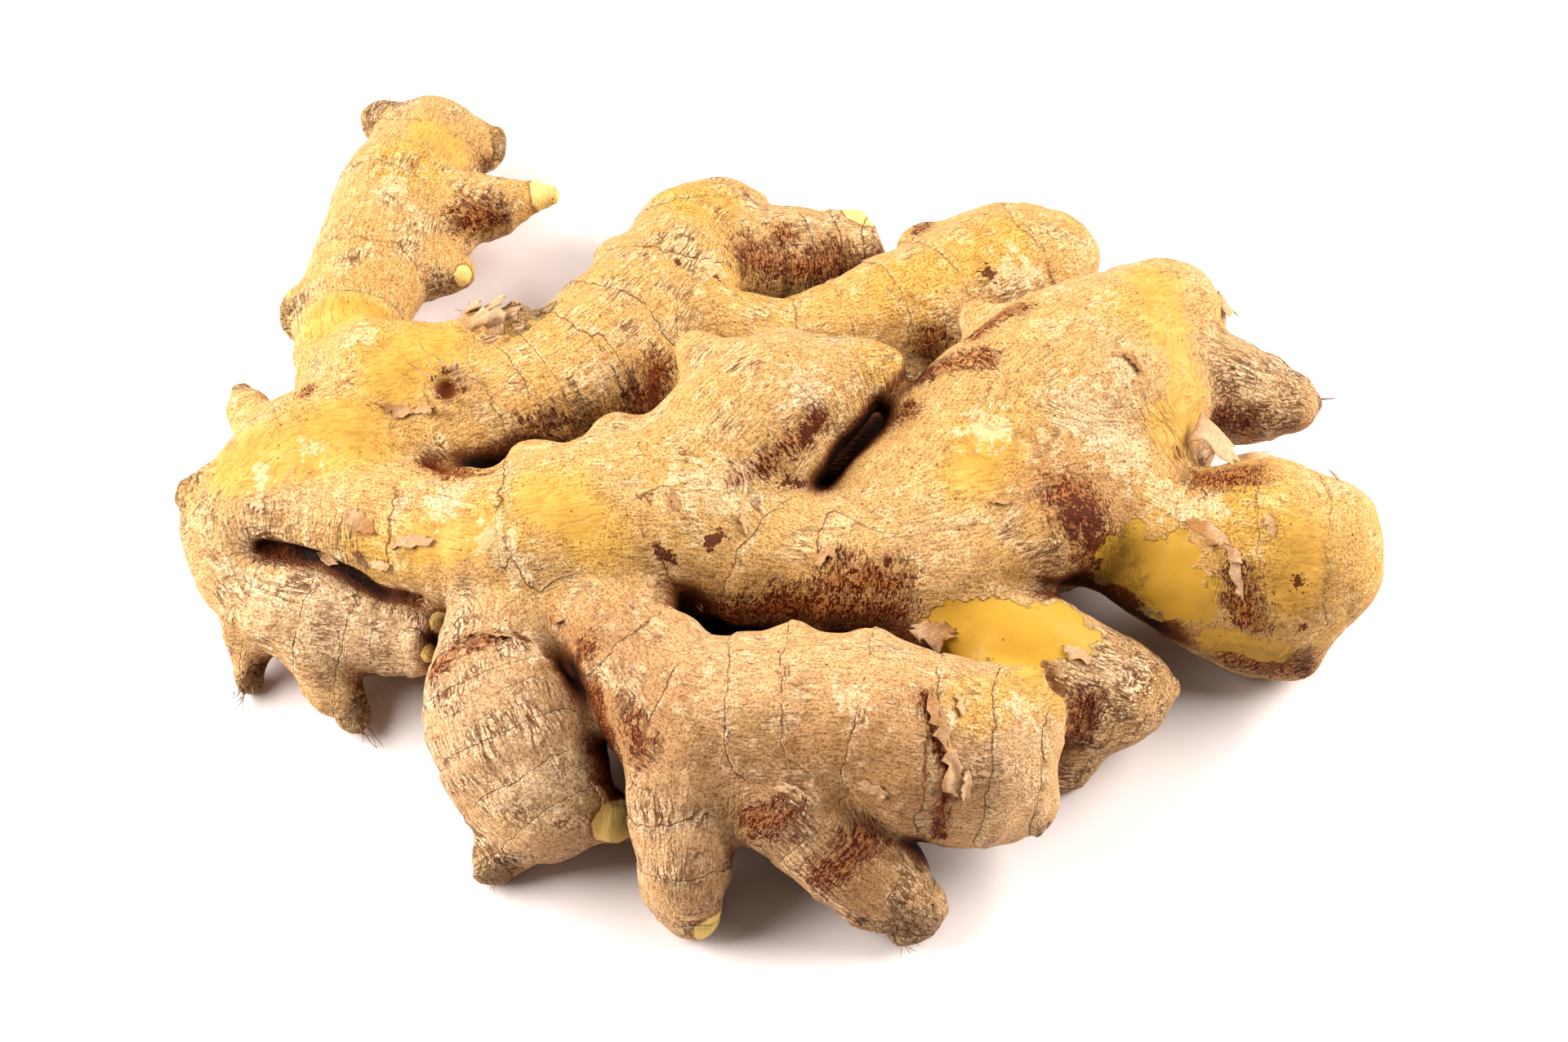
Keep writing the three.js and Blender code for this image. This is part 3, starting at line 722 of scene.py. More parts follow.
# The skin's slope is felt this far to either side, and a point finds the skin in four goes.
FEEL = 0.7
GOES = 4
# Sheath is this thick. Scraps crinkle this much, and lie this far off the skin.
SHEATH_THICKNESS = 0.12
CRINKLE = 0.12
GAP = 0.1
# The share of a collar's scraps that is below its middle, and how far inside the root each
# strand starts, as a share of its reach.
COLLAR_BURIED = 0.35
STRAND_BURIED = 0.2
# Each strand is a tube of this many sides and rings, and none goes into the table.
STRAND_SIDES = 5
STRAND_RINGS = 7
LOWEST_FIBRE = 0.1
# How far strands turn from their tuft's way, how much they bend, how many of their
# thicknesses they stand apart, and what shares of the full length they reach.
STRAND_TURN = 0.35
STRAND_BEND = 0.3
STRANDS_APART = 3
STRAND_REACH = (0.5, 1.1)


def skin_way(field, points):
    """The way straight out of the skin at any points."""
    steps = FEEL * np.eye(3)
    slope = np.stack([
        read_field(field, points + step) - read_field(field, points - step) for step in steps
    ], 1)
    return slope / np.maximum(np.linalg.norm(slope, axis=1), 1e-6)[:, None]


def on_skin(field, points, height):
    """The points moved straight in or out until they are the given height above the skin."""
    for _ in range(GOES):
        points = points - skin_way(field, points) * read_field(field, points)[:, None]
    return points + skin_way(field, points) * (read_skin(points)[1] + height)[:, None]


def sheet(top, thickness):
    """Points and faces of a closed sheet, from a grid of points on its top."""
    rows, columns = top.shape[:2]
    across = np.gradient(top, axis=1)
    out = np.cross(np.gradient(top, axis=0), across)
    out /= np.maximum(np.linalg.norm(out, axis=2), 1e-6)[:, :, None]
    points = np.concatenate([top.reshape(-1, 3), (top - out * thickness).reshape(-1, 3)])
    number = np.arange(rows * columns).reshape(rows, columns)
    quads = np.stack([number[:-1, :-1], number[1:, :-1], number[1:, 1:], number[:-1, 1:]], -1).reshape(-1, 4)
    rim = np.concatenate([number[:-1, 0], number[-1, :-1], number[:0:-1, -1], number[0, :0:-1]])
    under = rows * columns
    sides = np.stack([np.roll(rim, -1), rim, rim + under, np.roll(rim, -1) + under], 1)
    return points, np.concatenate([quads, quads[:, ::-1] + under, sides])


def places_on_sheet(rows, columns, first_edge=-1):
    """Even places on a scrap: from 0 to 1 along it, and from its first edge to 1 across it."""
    return np.meshgrid(np.linspace(0, 1, rows), np.linspace(first_edge, 1, columns), indexing="ij")


def torn(tear, where, notches, least, most, first=0, last=1):
    """A ragged random value at each place, drawn anew at each of the notches from first to last."""
    return np.interp(where, np.linspace(first, last, notches), tear.uniform(least, most, notches))


def scrap_grid(start, end, width, seed):
    """Points of a torn scrap before it is laid on the skin, and how free each is, from 0 to 1."""
    u, v = places_on_sheet(17, 9)
    way = np.subtract(end, start)
    side = unit(np.cross(way, (0, -0.4, 1.0)))
    tear = np.random.default_rng(seed)
    held_edge = torn(tear, u, 9, 0.5, 1.1)
    free_edge = torn(tear, u, 9, 0.25, 1.5)
    blunt_ends = np.sqrt(np.clip(1 - (2 * u - 1) ** 4, 0.05, 1))
    half = 0.5 * width * np.where(v < 0, held_edge, free_edge) * blunt_ends
    slipped = u + 0.16 * torn(tear, v, 5, -1, 1, first=-1) * (2 * u - 1)
    points = np.add(start, slipped[..., None] * way + (half * v)[..., None] * side)
    return points, (v + 1) / 2


def laid_scraps(field):
    """The tops of the scraps that lie on the skin, each with one edge held and one lifting."""
    grids = []
    free = []
    for seed, (start, end, width, _) in enumerate(SCRAPS):
        points, loose = scrap_grid(start, end, width, seed)
        grids.append(points)
        free.append(loose)
    lifts = np.array([lift for *_, lift in SCRAPS])[:, None, None]
    flat = np.array(grids).reshape(-1, 3)
    height = (GAP + 0.6 * lifts * np.array(free) ** 2).ravel() + CRINKLE * noise(flat, 1.6, 11)
    return list(on_skin(field, flat, height).reshape(len(SCRAPS), *grids[0].shape))


def collar_scraps(tear):
    """The tops of the torn scraps that stand all round each lost shoot."""
    tops = []
    u, v = places_on_sheet(9, 7)
    for middle, way, radius, length, count in COLLARS:
        way = unit(np.array(way, float))
        side = unit(np.cross(way, (0.3, 1, 0.2)))
        other = np.cross(way, side)
        for turn in np.linspace(0, 2 * np.pi, count, endpoint=False):
            wide = 2 * np.pi / count * tear.uniform(0.35, 0.8)
            middle_angle = turn + tear.uniform(-0.3, 0.3)
            angle = middle_angle + wide * v * torn(tear, u, 3, 0.3, 1.1)
            spread = radius + u * tear.uniform(-0.6, 1.5) + 0.35 * np.sin(5 * v + turn) * u
            rise = (u - COLLAR_BURIED) * length * tear.uniform(0.5, 1.1) * (1 - 0.3 * np.abs(v))
            around = np.cos(angle)[..., None] * side + np.sin(angle)[..., None] * other
            tops.append(middle + spread[..., None] * around + rise[..., None] * way)
    return tops


def standing_scales(tear):
    """The tops of the scales that stand clear of the root, curled and with ragged edges."""
    tops = []
    for corners in SCALES:
        a, b, c, d = (np.array(corner, float) for corner in corners)
        u, v = places_on_sheet(15, 11, first_edge=0)
        v = v * torn(tear, u, 8, 0.7, 1.1)
        u = u * torn(tear, v, 7, 0.7, 1.1, last=1.1)
        top = (a * ((1 - u) * (1 - v))[..., None] + b * ((1 - u) * v)[..., None]
               + c * (u * v)[..., None] + d * (u * (1 - v))[..., None])
        curl = np.sin(np.pi * v) * 0.9 + 0.25 * noise(top.reshape(-1, 3), 2.0, 12).reshape(u.shape)
        tops.append(top + curl[..., None] * np.array([0.1, -0.3, 1.0]))
    return tops


def make_scraps(field):
    """All the scraps and scales, as one piece."""
    tear = np.random.default_rng(3)
    points = []
    faces = []
    for top in laid_scraps(field) + collar_scraps(tear) + standing_scales(tear):
        more, quads = sheet(top, SHEATH_THICKNESS)
        faces.append(quads + sum(map(len, points)))
        points.append(more)
    return to_mesh("skin_scraps", np.concatenate(points), np.concatenate(faces))


def make_fibres():
    """All the dry roots and sheath fibres, as one piece: bent, tapering strands."""
    shuffle = np.random.default_rng(7)
    around = np.linspace(0, 2 * np.pi, STRAND_SIDES, endpoint=False)
    points = []
    faces = []
    for place, way, length, thickness, count in TUFTS:
        for _ in range(count):
            ahead = unit(np.array(way, float)) + shuffle.normal(0, STRAND_TURN, 3)
            bend = shuffle.normal(0, STRAND_BEND, 3)
            start = np.array(place, float) + shuffle.normal(0, STRANDS_APART * thickness, 3)
            reach = length * shuffle.uniform(*STRAND_REACH)
            side = unit(np.cross(ahead, (0.3, 0.2, 0.9)))
            other = np.cross(ahead, side) / np.linalg.norm(ahead)
            first = len(points)
            last = first + STRAND_SIDES * (STRAND_RINGS - 1)
            for t in np.linspace(-STRAND_BURIED, 1, STRAND_RINGS):
                middle = start + reach * (t * ahead + t * abs(t) * bend)
                radius = thickness * (1.05 - 0.75 * max(t, 0)) / 2
                round_it = np.outer(np.cos(around), side) + np.outer(np.sin(around), other)
                points += list(middle + radius * round_it)
            for ring in range(first, last, STRAND_SIDES):
                for k in range(STRAND_SIDES):
                    a, b = ring + k, ring + (k + 1) % STRAND_SIDES
                    faces.append((a, b, b + STRAND_SIDES, a + STRAND_SIDES))
            faces.append([first + STRAND_SIDES - 1 - k for k in range(STRAND_SIDES)])
            faces.append([last + k for k in range(STRAND_SIDES)])
    points = np.array(points)
    points[:, 2] = np.maximum(points[:, 2], LOWEST_FIBRE)
    return to_mesh("dry_fibres", points, faces)


# ------------------------------------------------------------------ materials
# Settings that many nodes share, and the places of a Mix node's share and colours.
COLOUR = {"data_type": "RGBA"}
DARKEN = {"data_type": "RGBA", "blend_type": "MULTIPLY"}
SOFT = {"interpolation_type": "SMOOTHSTEP"}
TIMES = {"operation": "MULTIPLY"}
TIMES_PLUS = {"operation": "MULTIPLY_ADD"}
MINUS = {"operation": "SUBTRACT"}
NEAR = {"operation": "COMPARE"}
CLAMP = {"use_clamp": True}
SHARE, FROM, TO, MIXED = 0, 6, 7, 2

# Blotches that the patterns of the skin share: their sizes in millimetres, and their detail.
BLOTCHES = {22: 2.0, 6: 3.0, 2: 3.0, 0.5: 2.0, 0.38: 1.0}
# Patterns in the grain of the skin: how wide they are across the finger and how long they
# are along it, in millimetres, with their detail and how far they stray. Shallow folds and
# hair-fine streaks run along each finger. The fibres of scurf and the puckers lie across it.
# Real streaks are finer still, and are drawn this coarse to show.
GRAIN_PATTERNS = {
    "folds": (1.6, 4.0, 2.0, 0.8), "streaks": (0.45, 2.2, 1.0, 0.4), "cracks": (1.2, 6.0, 3.0, 0.6),
    "fibres": (1.2, 0.5, 3.0, 1.2), "puckers": (3.6, 0.9, 2.0, 0.8),
}
# Each mark ends in a ragged edge. Two patterns push its outline in and out, each by its own
# amount, and then the mark shows from the first level and is full at the second.
EDGES = {
    "rubbed": ("2 mm", 1.1, "6 mm", 1.2, 0.08, 0.6),
    "bare": ("2 mm", 0.8, "6 mm", 1.2, 0.24, 0.34),
    "puckered": ("2 mm", 0.6, "6 mm", 0.6, 0.0, 0.6),
    "golden": ("6 mm", 0.6, "22 mm", 0.6, 0.1, 0.6),
    "shoot": ("2 mm", 0.3, "6 mm", 0.2, 0.25, 0.32),
    "papery": ("2 mm", 2.4, "0.5 mm", 0.5, 0.3, 0.37),
    "tanned_and_shaded": ("6 mm", 1.0, "22 mm", 0.6, 0.0, 0.7),
    "stained": ("fibres", 2.2, "2 mm", 1.6, 0.0, 0.8),
    "scabbed": ("2 mm", 2.2, "0.5 mm", 1.2, 0.45, 0.6),
    "freckled": ("6 mm", 0.6, "22 mm", 0.6, 0.0, 0.8),
    "rough": ("2 mm", 1.8, "6 mm", 1.6, 0.1, 0.5),
}
# Patterns mixed from two: one is scaled by an amount and added to the other.
SUMS = (
    ("drying", "6 mm", 1.6, "wrinkled"), ("flaking", "2 mm", 0.7, "6 mm"),
    ("flaking", "0.5 mm", 0.25, "flaking"), ("scurfy", "0.38 mm", 0.5, "fibres"),
    ("dirt_and_shade_level", "fibres", 0.6, "soil_and_shade"), ("toned", "22 mm", 0.8, "gold"),
)
# Where each look of the skin shows: the pattern that it comes from, the levels at which it
# starts and is full, and what holds it back.
MASKS = (
    # Where it has dried most, the skin is netted with cracks.
    ("dried", "drying", 1.2, 1.9, "whole"), ("net", "to_net", 0.1, 0.03, "dried"),
    ("fold_lines", "folds", 0.5, 0.32, "wrinkles"), ("pucker_lines", "puckers", 0.46, 0.3, "puckered"),
    ("pores", "to_pore", 0.3, 0.12, "porous"), ("dots", "to_dot", 0.22, 0.1, "dotted"),
    # The driest film of the skin lifts in pale ragged flakes, 3 to 6 mm across.
    ("flakes", "flaking", 1.03, 1.06, "whole"),
    # The torn edge of the skin stands up pale here and there round each bare place.
    ("standing", "6 mm", 0.48, 0.6, "whole"), ("torn", "bare_edge", 0.14, 0.26, "standing"),
    # Soil and scurf gather in the creases, and skin has sealed the hole. The creases and shut-in places are
    # also painted dark as shade, near black deepest in.
    ("scurf", "scurfy", 0.71, 0.79, "stained"), ("dirt_and_painted_shade", "dirt_and_shade_level", 0.5, 0.9, "everywhere"),
    ("painted_deep_shade", "soil_and_shade", 0.58, 0.85, "everywhere"), ("seal", "hole", 0.35, 0.55, "everywhere"),
    # Growth rings: a thin brown crack with the pale dry edge of an old leaf scar beside it.
    ("ringing", "6 mm", 0.33, 0.5, "may_ring"),
    ("crack_start", "past_ring", 0.0, 0.015, "ringing"),
    ("ring_crack", "past_ring", 0.035, 0.015, "crack_start"),
    ("scar_start", "past_ring", 0.03, 0.05, "ringing"), ("scar_line", "past_ring", 0.14, 0.05, "scar_start"),
    ("leaf_scar", "fibres", 0.42, 0.56, "scar_line"),
)
# Colour, from the plain skin up: plain and golden skin, then where each layer lies, how
# strong it is and what colour.
PLAIN_SKIN, GOLDEN_SKIN = "#b8936a", "#bd924e"
SKIN_LAYERS = (
    # The first layer's browning is partly painted shade on lower, front-facing faces.
    ("tanned_and_shaded", 0.55, "#8a5b30"), ("dried", 0.35, "#cfb08c"), ("golden", 0.7, "#bc8f3c"),
    ("rubbed", 0.85, "#ba8b3a"), ("flakes", 0.25, "#d3b48a"), ("papery", 0.5, "#d4b68e"),
    ("leaf_scar", 0.6, "#e0c6a0"), ("rough", 0.6, "#7a6044"),
)
# Shades within the skin: the pattern, where it lies, the levels at which it is darkest and
# palest, and how much red, green and blue are left there.
SHADES = (
    ("6 mm", "everywhere", 0.3, 0.7, (0.88, 0.85, 0.8), (1.09, 1.11, 1.14)),
    ("2 mm", "whole", 0.3, 0.7, (0.87, 0.82, 0.76), (1.08, 1.11, 1.14)),
    ("streaks", "streaked", 0.36, 0.5, (0.36, 0.24, 0.14), (1.15, 1.17, 1.2)),
    ("0.38 mm", "whole", 0.34, 0.54, (0.64, 0.53, 0.43), (1.12, 1.15, 1.19)),
)
# What lies on the skin or shows where it is open, in the same way as its layers, along with the painted shade
# of its creases and shut-in places.
TOP_LAYERS = (
    ("fold_lines", 0.2, "#7d5230"), ("net", 0.55, "#5e3814"), ("hair_cracks", 0.8, "#552c0e"),
    ("pores", 0.6, "#6a3c18"), ("pucker_lines", 0.4, "#5c3213"), ("dirt_and_painted_shade", 0.95, "#5a280a"),
    ("painted_deep_shade", 1.0, "#1e0b04"), ("stained", 0.6, "#93490f"), ("scurf", 1.0, "#4a1602"),
    ("torn", 0.5, "#dcb67c"), ("bare", 1.0, "#b2862e"), ("shoot", 1.0, "#e0bc6e"),
    ("cuff", 0.6, "#7a4a20"), ("ring_crack", 0.95, "#5a2f12"), ("dots", 0.75, "#552208"),
    ("scabbed", 0.95, "#4a1804"), ("seal", 1.0, "#6f3614"),
)
# Relief too fine for the mesh, in millimetres: what stands up or is sunk all over one mask,
# and then the patterns that stand up within one.
FINE_STEPS = {
    "net": -0.15, "ring_crack": -0.3, "leaf_scar": 0.2, "torn": 0.12, "bare": -0.1, "pores": -0.05,
    "hair_cracks": -0.1, "flakes": 0.08, "papery": 0.1,
}
FINE_PATTERNS = (
    ("folds", "wrinkles", 0.42), ("streaks", "wrinkles", 0.55), ("puckers", "puckered", 0.9),
    ("2 mm", "stained", 0.6), ("2 mm", "rough", 1.2), ("0.5 mm", "rough", 0.5),
    ("0.38 mm", "whole", 0.08), ("0.5 mm", "bare", 0.06),
)


def linear(hex_colour):
    """An sRGB hex colour as the linear colour a shader takes."""
    values = [int(hex_colour[i:i + 2], 16) / 255 for i in (1, 3, 5)]
    return tuple(v / 12.92 if v <= 0.04045 else ((v + 0.055) / 1.055) ** 2.4 for v in values) + (1.0,)


def per_metre(millimetres):
    """The scale that makes a pattern's features this many millimetres across."""
    return 1000.0 / millimetres


def put(tree, kind, settings, takes, gives=0):
    """Adds one node with its settings and what its sockets take, and returns the output it gives, if any."""
    node = tree.nodes.new("ShaderNode" + kind)
    for name, value in settings.items():
        setattr(node, name, value)
    for socket, source in takes.items():
        if isinstance(source, bpy.types.NodeSocket):
            tree.links.new(source, node.inputs[socket])
        else:
            node.inputs[socket].default_value = source
    return node.outputs[gives] if len(node.outputs) else None


def blank_material(name):
    """A new material with no nodes yet."""
    material = bpy.data.materials.new(name)
    material.use_nodes = True
    material.node_tree.nodes.clear()
    return material


def add_patterns(tree, skin):
    """Adds the patterns that the looks of the skin come from."""
    place = put(tree, "TexCoord", {}, {}, "Object")
    grain = put(tree, "Attribute", {"attribute_name": "grain"}, {}, "Vector")
    for size, detail in BLOTCHES.items():
        skin[f"{size} mm"] = put(tree, "TexNoise", {}, {
            "Vector": place, "Scale": per_metre(size), "Detail": detail,
        })
    for name, (across, lengthways, detail, stray) in GRAIN_PATTERNS.items():
        squeezed = put(tree, "VectorMath", TIMES, {0: grain, 1: (1 / across, 1 / across, 1 / lengthways)})
        skin[name] = put(tree, "TexNoise", {}, {
            "Vector": squeezed, "Scale": 1.0, "Detail": detail, "Distortion": stray,
        })
    # The net of cracks has meshes 1.2 mm wide and 3 mm long, bent by blotches of 1.6 mm.
    bent = put(tree, "TexNoise", {}, {"Vector": place, "Scale": per_metre(1.6), "Detail": 2.0}, "Color")
    bent = put(tree, "VectorMath", {"operation": "SCALE"}, {0: bent, "Scale": 1.6})
    bent = put(tree, "VectorMath", TIMES_PLUS, {0: grain, 1: (1 / 1.2, 1 / 1.2, 1 / 3.0), 2: bent})
    skin["to_net"] = put(tree, "TexVoronoi", {"feature": "DISTANCE_TO_EDGE"}, {"Vector": bent, "Scale": 1.0})
    # Pores are fine dark pits, about one to each 0.9 mm of skin. Dark dots are about 0.5 mm
    # across, in cells of 1.5 mm: six cells in ten have one where they are thick, and one in
    # ten has one elsewhere.
    skin["to_pore"] = put(tree, "TexVoronoi", {}, {"Vector": place, "Scale": per_metre(0.9)})
    cell = put(tree, "TexVoronoi", {}, {"Vector": place, "Scale": per_metre(1.5)}).node
    skin["to_dot"] = cell.outputs["Distance"]
    skin["dot_chance"] = put(tree, "SeparateColor", {}, {0: cell.outputs["Color"]})


def add_marks(tree, skin):
    """Adds how fully each mark shows, and how far inside its ragged edge the skin is."""
    for name, (first, first_push, second, second_push, starts, full) in EDGES.items():
        pushed = put(tree, "Attribute", {"attribute_name": name}, {}, "Fac")
        pushed = put(tree, "Math", TIMES_PLUS, {0: skin[first], 1: first_push, 2: pushed})
        pushed = put(tree, "Math", TIMES_PLUS, {0: skin[second], 1: second_push, 2: pushed})
        edge = put(tree, "Math", MINUS, {0: pushed, 1: (first_push + second_push) / 2})
        skin[name] = put(tree, "MapRange", SOFT, {"Value": edge, "From Min": starts, "From Max": full})
        skin[name + "_edge"] = edge


def add_wear(tree, skin):
    """Adds where the skin is whole, wrinkled, dried, cracked, flaking and ringed, and where soil and painted
    shade darken it.
    """
    rubbed = put(tree, "Math", TIMES, {0: skin["rubbed"], 1: 0.75})
    open_skin = put(tree, "Math", {"operation": "MAXIMUM"}, {0: skin["bare"], 1: rubbed})
    whole = put(tree, "Math", MINUS, {0: 1.0, 1: open_skin})
    skin["whole"] = whole
    skin["wrinkles"] = put(tree, "Math", TIMES, {0: skin["wrinkled"], 1: whole})
    # Creases and shut-in places: the skin there is darkened partly by soil and partly as painted shade.
    creased = put(tree, "MapRange", {}, {"Value": skin["creased"], "To Min": 0.0, "To Max": 0.8})
    skin["soil_and_shade"] = put(tree, "Math", {"operation": "ADD"}, {0: creased, 1: skin["crevice"]})
    # Rings wander by this share of their spacing, and stop where fingers join.
    wander = put(tree, "Math", TIMES_PLUS, {0: skin["2 mm"], 1: 0.16, 2: skin["rings"]})
    skin["past_ring"] = put(tree, "Math", {"operation": "FRACT"}, {0: wander})
    clear = put(tree, "Math", TIMES, {0: skin["ringed"], 1: skin["clear_of_joint"]})
    skin["may_ring"] = put(tree, "Math", TIMES, {0: clear, 1: whole})
    open_pores = put(tree, "MapRange", SOFT, {
        "Value": skin["2 mm"], "From Min": 0.4, "From Max": 0.62, "To Min": 0.15, "To Max": 0.8,
    })
    skin["porous"] = put(tree, "Math", TIMES, {0: open_pores, 1: whole})
    thick = put(tree, "Math", TIMES_PLUS, {0: skin["freckled"], 1: 0.5, 2: 0.1})
    skin["dotted"] = put(tree, "Math", {"operation": "LESS_THAN"}, {0: skin["dot_chance"], 1: thick})
    for name, pattern, amount, other in SUMS:
        skin[name] = put(tree, "Math", TIMES_PLUS, {0: skin[pattern], 1: amount, 2: skin[other]})
    for name, pattern, starts, full, within in MASKS:
        shown = put(tree, "MapRange", SOFT, {"Value": skin[pattern], "From Min": starts, "From Max": full})
        skin[name] = put(tree, "Math", TIMES, {0: shown, 1: skin[within]})
    # Hair cracks run along the finger too, faint where the skin is still plump.
    cracked = put(tree, "Math", TIMES_PLUS, {0: skin["6 mm"], 1: 1.2, 2: skin["dried"]})
    cracked = put(tree, "MapRange", {}, {"Value": cracked, "From Min": 0.45, "From Max": 1.3})
    cracked = put(tree, "Math", TIMES, {0: cracked, 1: whole})
    hair = put(tree, "Math", NEAR, {0: skin["cracks"], 1: 0.5, 2: 0.035})
    skin["hair_cracks"] = put(tree, "Math", TIMES, {0: hair, 1: cracked})
    skin["streaked"] = put(tree, "Math", {**TIMES_PLUS, **CLAMP}, {0: skin["dried"], 1: 0.7, 2: 0.3})
    # The sheath that each shoot came through leaves a thin brown cuff.
    skin["cuff"] = put(tree, "Math", NEAR, {0: skin["shoot_edge"], 1: 0.2, 2: 0.05})


def lay_on(tree, skin, tone, layers):
    """The colour with each layer laid over it in turn."""
    for name, strength, colour in layers:
        amount = put(tree, "Math", TIMES, {0: skin[name], 1: strength})
        tone = put(tree, "Mix", COLOUR, {SHARE: amount, FROM: tone, TO: linear(colour)}, MIXED)
    return tone


def skin_tone(tree, skin):
    """The colour of the skin, from the plain skin up."""
    golden = put(tree, "Math", {**MINUS, **CLAMP}, {0: skin["toned"], 1: 0.4})
    tone = put(tree, "Mix", COLOUR, {
        SHARE: golden, FROM: linear(PLAIN_SKIN), TO: linear(GOLDEN_SKIN),
    }, MIXED)
    tone = lay_on(tree, skin, tone, SKIN_LAYERS)
    for pattern, within, low, high, darkest, palest in SHADES:
        share = put(tree, "MapRange", {}, {"Value": skin[pattern], "From Min": low, "From Max": high})
        shade = put(tree, "Mix", COLOUR, {SHARE: share, FROM: (*darkest, 1), TO: (*palest, 1)}, MIXED)
        tone = put(tree, "Mix", DARKEN, {SHARE: skin[within], FROM: tone, TO: shade}, MIXED)
    return lay_on(tree, skin, tone, TOP_LAYERS)


def fine_relief(tree, skin):
    """Wrinkles, pores, torn edges, ring edges and crumbling ends, as relief on the shader."""
    height = 0.0
    for name, millimetres in FINE_STEPS.items():
        height = put(tree, "Math", TIMES_PLUS, {0: skin[name], 1: millimetres, 2: height})
    for pattern, within, millimetres in FINE_PATTERNS:
        raised = put(tree, "Math", TIMES, {0: skin[pattern], 1: skin[within]})
        height = put(tree, "Math", TIMES_PLUS, {0: raised, 1: millimetres, 2: height})
    return put(tree, "Bump", {}, {"Height": height, "Strength": 1.0, "Distance": MM}, "Normal")


def ginger_skin():
    """Dry ginger skin: thin, matt and papery, finely wrinkled, with yellow flesh where it has rubbed off."""
    material = blank_material("ginger_skin")
    tree = material.node_tree
    kept = ("rings", "ringed", "wrinkled", "gold", "clear_of_joint", "crevice", "hole", "creased")
    skin = {name: put(tree, "Attribute", {"attribute_name": name}, {}, "Fac") for name in kept}
    skin["everywhere"] = 1.0
    add_patterns(tree, skin)
    add_marks(tree, skin)
    add_wear(tree, skin)
    gloss = put(tree, "MapRange", {}, {"Value": skin["bare"], "To Min": 0.6, "To Max": 0.4})
    shader = put(tree, "BsdfPrincipled", {}, {
        "Base Color": skin_tone(tree, skin), "Roughness": gloss, "Normal": fine_relief(tree, skin),
        "Specular IOR Level": 0.1, "Subsurface Weight": 0.12, "Subsurface Radius": (1.0, 0.5, 0.2),
        "Subsurface Scale": 0.002,
    })
    put(tree, "OutputMaterial", {}, {"Surface": shader})
    return material


def papery_sheath():
    """Dried sheath and skin: pale, thin and fibrous, browner in places."""
    material = blank_material("papery_sheath")
    tree = material.node_tree
    place = put(tree, "TexCoord", {}, {}, "Object")
    patches = put(tree, "TexNoise", {}, {"Vector": place, "Scale": per_metre(9.0), "Detail": 3.0})
    fibres = put(tree, "TexNoise", {}, {
        "Vector": place, "Scale": per_metre(0.7), "Detail": 3.0, "Distortion": 1.5,
    })
    tone = put(tree, "MapRange", SOFT, {"Value": patches, "From Min": 0.35, "From Max": 0.65})
    tone = put(tree, "Mix", COLOUR, {SHARE: tone, FROM: linear("#9a683a"), TO: linear("#c8a077")}, MIXED)
    shade = put(tree, "MapRange", {}, {
        "Value": fibres, "From Min": 0.35, "From Max": 0.65, "To Min": 0.7, "To Max": 1.05,
    })
    tone = put(tree, "Mix", DARKEN, {SHARE: 1.0, FROM: tone, TO: shade}, MIXED)
    bump = put(tree, "Bump", {}, {"Height": fibres, "Strength": 1.0, "Distance": 0.2 * MM}, "Normal")
    shader = put(tree, "BsdfPrincipled", {}, {
        "Base Color": tone, "Roughness": 0.75, "Normal": bump, "Specular IOR Level": 0.1,
    })
    put(tree, "OutputMaterial", {}, {"Surface": shader})
    return material


def dry_root_fibre():
    """Dead rootlets and sheath strands, grey-brown and darker in places."""
    material = blank_material("dry_root_fibre")
    tree = material.node_tree
    place = put(tree, "TexCoord", {}, {}, "Object")
    patches = put(tree, "TexNoise", {}, {"Vector": place, "Scale": per_metre(3.0), "Detail": 2.0})
    tone = put(tree, "MapRange", SOFT, {"Value": patches, "From Min": 0.35, "From Max": 0.65})
    tone = put(tree, "Mix", COLOUR, {SHARE: tone, FROM: linear("#5f402a"), TO: linear("#a98a66")}, MIXED)
    shader = put(tree, "BsdfPrincipled", {}, {
        "Base Color": tone, "Roughness": 0.8, "Specular IOR Level": 0.1,
    })
    put(tree, "OutputMaterial", {}, {"Surface": shader})
    return material


field = grow_field()
root = make_root(field)
root.data.materials.append(ginger_skin())
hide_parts("rhizome")
scraps = make_scraps(field)
scraps.data.materials.append(papery_sheath())
fibres = make_fibres()
fibres.data.materials.append(dry_root_fibre())
for piece in (root, scraps, fibres):
    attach(piece, "root")

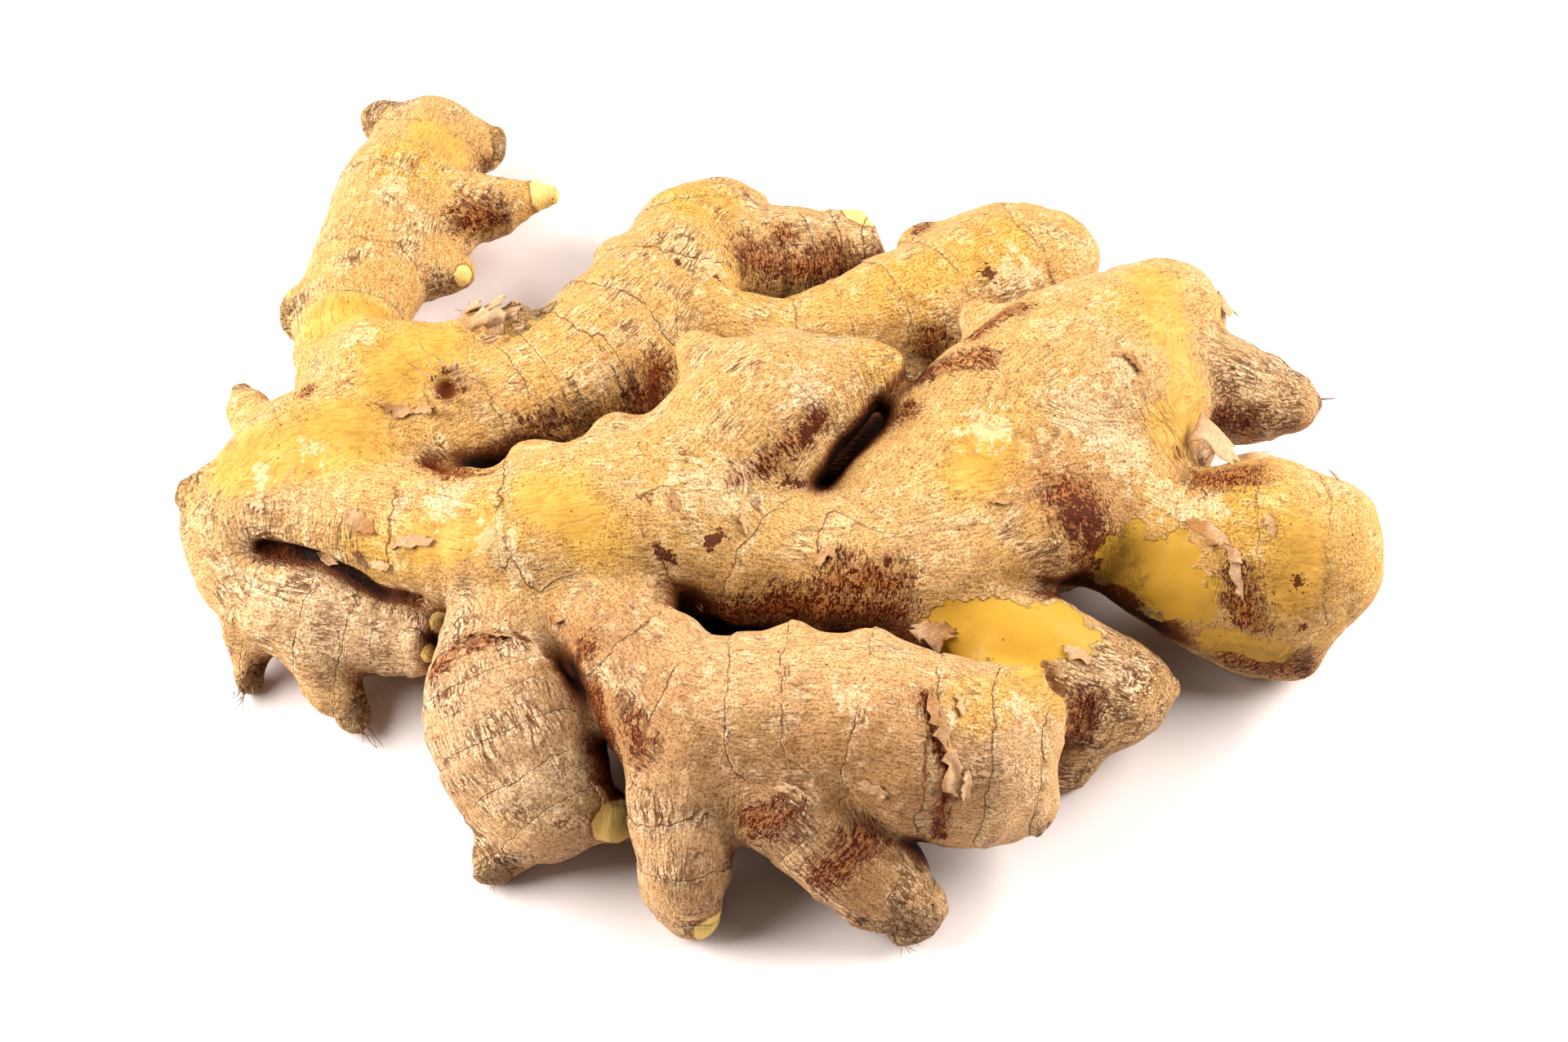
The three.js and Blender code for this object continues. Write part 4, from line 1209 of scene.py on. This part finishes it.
# ---------------------------------------------------- the table and the light
# The table top is 8 m across, far past the edges of the camera's view.
HALF_TABLE = 4
floor_mesh = bpy.data.meshes.new("table_top")
corners = [(x * HALF_TABLE, y * HALF_TABLE, 0) for x, y in ((-1, -1), (1, -1), (1, 1), (-1, 1))]
floor_mesh.from_pydata(corners, [], [(0, 1, 2, 3)])
floor = bpy.data.objects.new("table_top", floor_mesh)
bpy.context.collection.objects.link(floor)
# Matt white card: pale and even, with soft shadows and no shine.
white_card = bpy.data.materials.new("matt_white_card")
white_card.use_nodes = True
card = white_card.node_tree.nodes["Principled BSDF"]
card.inputs["Base Color"].default_value = linear("#e3d7d2")
card.inputs["Roughness"].default_value = 0.9
floor_mesh.materials.append(white_card)


def soft_box(name, place, aim, size, watts):
    """A square soft light at a place, facing what it lights."""
    light = bpy.data.lights.new(name, "AREA")
    light.shape = "SQUARE"
    light.size = size
    light.energy = watts
    lamp = bpy.data.objects.new(name, light)
    lamp.location = place
    lamp.rotation_euler = (Vector(aim) - Vector(place)).to_track_quat("-Z", "Y").to_euler()
    bpy.context.collection.objects.link(lamp)


soft_box("left_soft_box", (-0.76, 0.03, 0.47), aim=(0, 0, 0), size=0.7, watts=24.5)
soft_box("right_soft_box", (0.7, 0.2, 0.53), aim=(0, 0, 0), size=0.7, watts=21)
world = bpy.data.worlds.new("white_room")
world.use_nodes = True
world.node_tree.nodes["Background"].inputs["Color"].default_value = linear("#ffffff")
world.node_tree.nodes["Background"].inputs["Strength"].default_value = 0.15
bpy.context.scene.world = world

CAMERA_DISTANCE = 0.612
CAMERA_ELEVATION = math.radians(55)
CAMERA_AIM = Vector((1, -16, 22)) * MM
camera_data = bpy.data.cameras.new("camera")
camera_data.lens = 85
camera_data.sensor_width = 36
camera = bpy.data.objects.new("camera", camera_data)
back = Vector((0, -math.cos(CAMERA_ELEVATION), math.sin(CAMERA_ELEVATION)))
camera.location = CAMERA_AIM + back * CAMERA_DISTANCE
camera.rotation_euler = back.to_track_quat("Z", "Y").to_euler()
bpy.context.collection.objects.link(camera)
bpy.context.scene.camera = camera
bpy.context.scene.view_settings.view_transform = "Standard"
